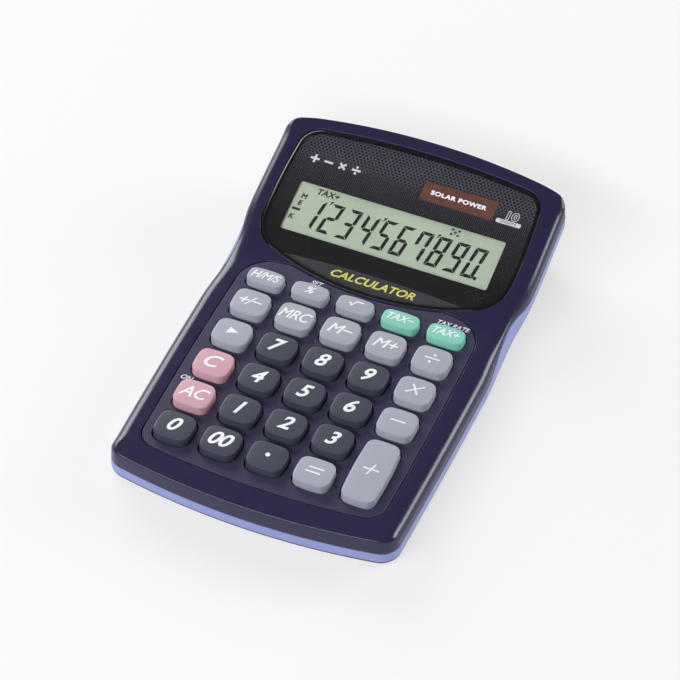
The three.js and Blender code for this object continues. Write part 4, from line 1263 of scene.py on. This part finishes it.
def make_band():
    def top(y):
        return seam(y) - SEAM_GAP

    def tongue(y):
        return min(seam(y) + 1.2, upper_face(y) - TOP_WALL - 0.3)

    rings = [ring(CASE, 0.25, band_foot), ring(CASE, 0.07, lambda y: band_foot(y) + 0.08)]
    rings.append(ring(CASE, 0, lambda y: band_foot(y) + 0.28))
    for inward, down in quarter_round(SHOULDER_STEPS):
        rings.append(ring(
            CASE,
            lambda x, y, k=inward: seam_inset(x, y) * k,
            lambda y, k=down: top(y) - BAND_SHOULDER * k,
        ))
    rings.append(ring(CASE, TONGUE_INSET, top))
    rings.append(ring(CASE, TONGUE_INSET, tongue))
    rings.append(ring(CASE, INNER_INSET, tongue))
    rings.append(ring(CASE, INNER_INSET, lambda y: band_foot(y) + SHELF))
    rings.append(ring(CASE, BAND_WALL, lambda y: band_foot(y) + SHELF))
    rings.append(ring(CASE, BAND_WALL, band_foot))
    band = loft("middle_frame_band", rings, closed=True)
    finish_mesh(band, PERIWINKLE, sharp=40)
    return piece(band, "case", "middle_frame")


def recess(x, y, radius, top, mouth):
    """Cutter for a round pocket in the floor, its mouth eased."""
    stations = [(radius + 0.3, mouth - 2), (radius + 0.3, mouth), (radius, mouth + 0.3), (radius, top)]
    return loft("recess", cylinder_rings(x, y, stations))


def make_base():
    """The tray, with its screw wells, foot pockets and the pocket of the battery cover."""
    def rim(y):
        return band_foot(y) - SEAM_GAP

    edge_top = FLOOR_HEIGHT + BASE_ROUND
    floor_top = FLOOR_HEIGHT + FLOOR_THICKNESS

    def lean(x, y, z):
        return max(0.0, rim(y) - z) * BASE_TAPER

    rings = []
    for up, out in quarter_round(BASE_STEPS):
        rings.append(ring(
            CASE,
            lambda x, y, k=out: RIM_INSET + k * BASE_ROUND_REACH + lean(x, y, edge_top),
            FLOOR_HEIGHT + BASE_ROUND * up,
        ))
    rings.append(ring(CASE, RIM_INSET + 0.12, lambda y: rim(y) - 0.25))
    rings.append(ring(CASE, RIM_INSET, rim))
    tray = loft("bottom_case_tray", rings)
    inside = loft("inside", [
        ring(INNER, lambda x, y: INNER_INSET + lean(x, y, edge_top), floor_top),
        ring(INNER, INNER_INSET, lambda y: max(band_foot(y), floor_top) + 4),
    ])
    boolean(tray, inside)
    cutters = []
    for name in frame["nodes"]:
        low, high = box_mm(name)
        middle = (low + high) / 2
        if name.startswith("case_screw"):
            cutters.append(recess(middle.x, middle.y, WELL_RADIUS, WELL_TOP, FLOOR_HEIGHT))
        if name.startswith("foot"):
            top = FLOOR_HEIGHT + FOOT_POCKET_DEPTH
            cutters.append(recess(middle.x, middle.y, FOOT_POCKET_RADIUS, top, FLOOR_HEIGHT - 0.2))
    boolean(tray, joined("wells", cutters))
    low, high = box_mm("battery_cover")
    outer = rounded_rectangle(
        low.x - FIT_GAP, low.y - FIT_GAP, high.x + FIT_GAP, high.y + FIT_GAP, POCKET_CORNER)
    boolean(tray, prism("pocket", outer, -1, POCKET_TOP))
    finish_mesh(tray, BASE_GREY, sharp=32)
    return piece(tray, "case", "bottom_case")


make_band()
make_base()


# ---- carried-over CAD pieces

CARRIED = {
    "lcd_frame": BLACK_PLASTIC, "circuit_board": BOARD_GREEN, "controller_chip": BLACK_PLASTIC,
    "switch_mat": SILICONE, "display_ribbon": RIBBON_AMBER, "case_gasket": RUBBER,
    "battery_cover_seal": RUBBER, "coin_cell": STEEL, "cell_contact_negative": STEEL,
    "cell_contact_positive": STEEL, "battery_cover": BASE_GREY, "battery_cover_screw": STEEL,
}


def carried_material(name):
    if name.startswith("foot"):
        return RUBBER
    if name.startswith("case_screw"):
        return STEEL
    return CARRIED.get(name)


def dress_carried_pieces():
    """Gives the CAD pieces that are kept as they are their own materials."""
    for name, node in frame["nodes"].items():
        material = carried_material(name)
        if material:
            node.data.materials.clear()
            node.data.materials.append(material)


dress_carried_pieces()
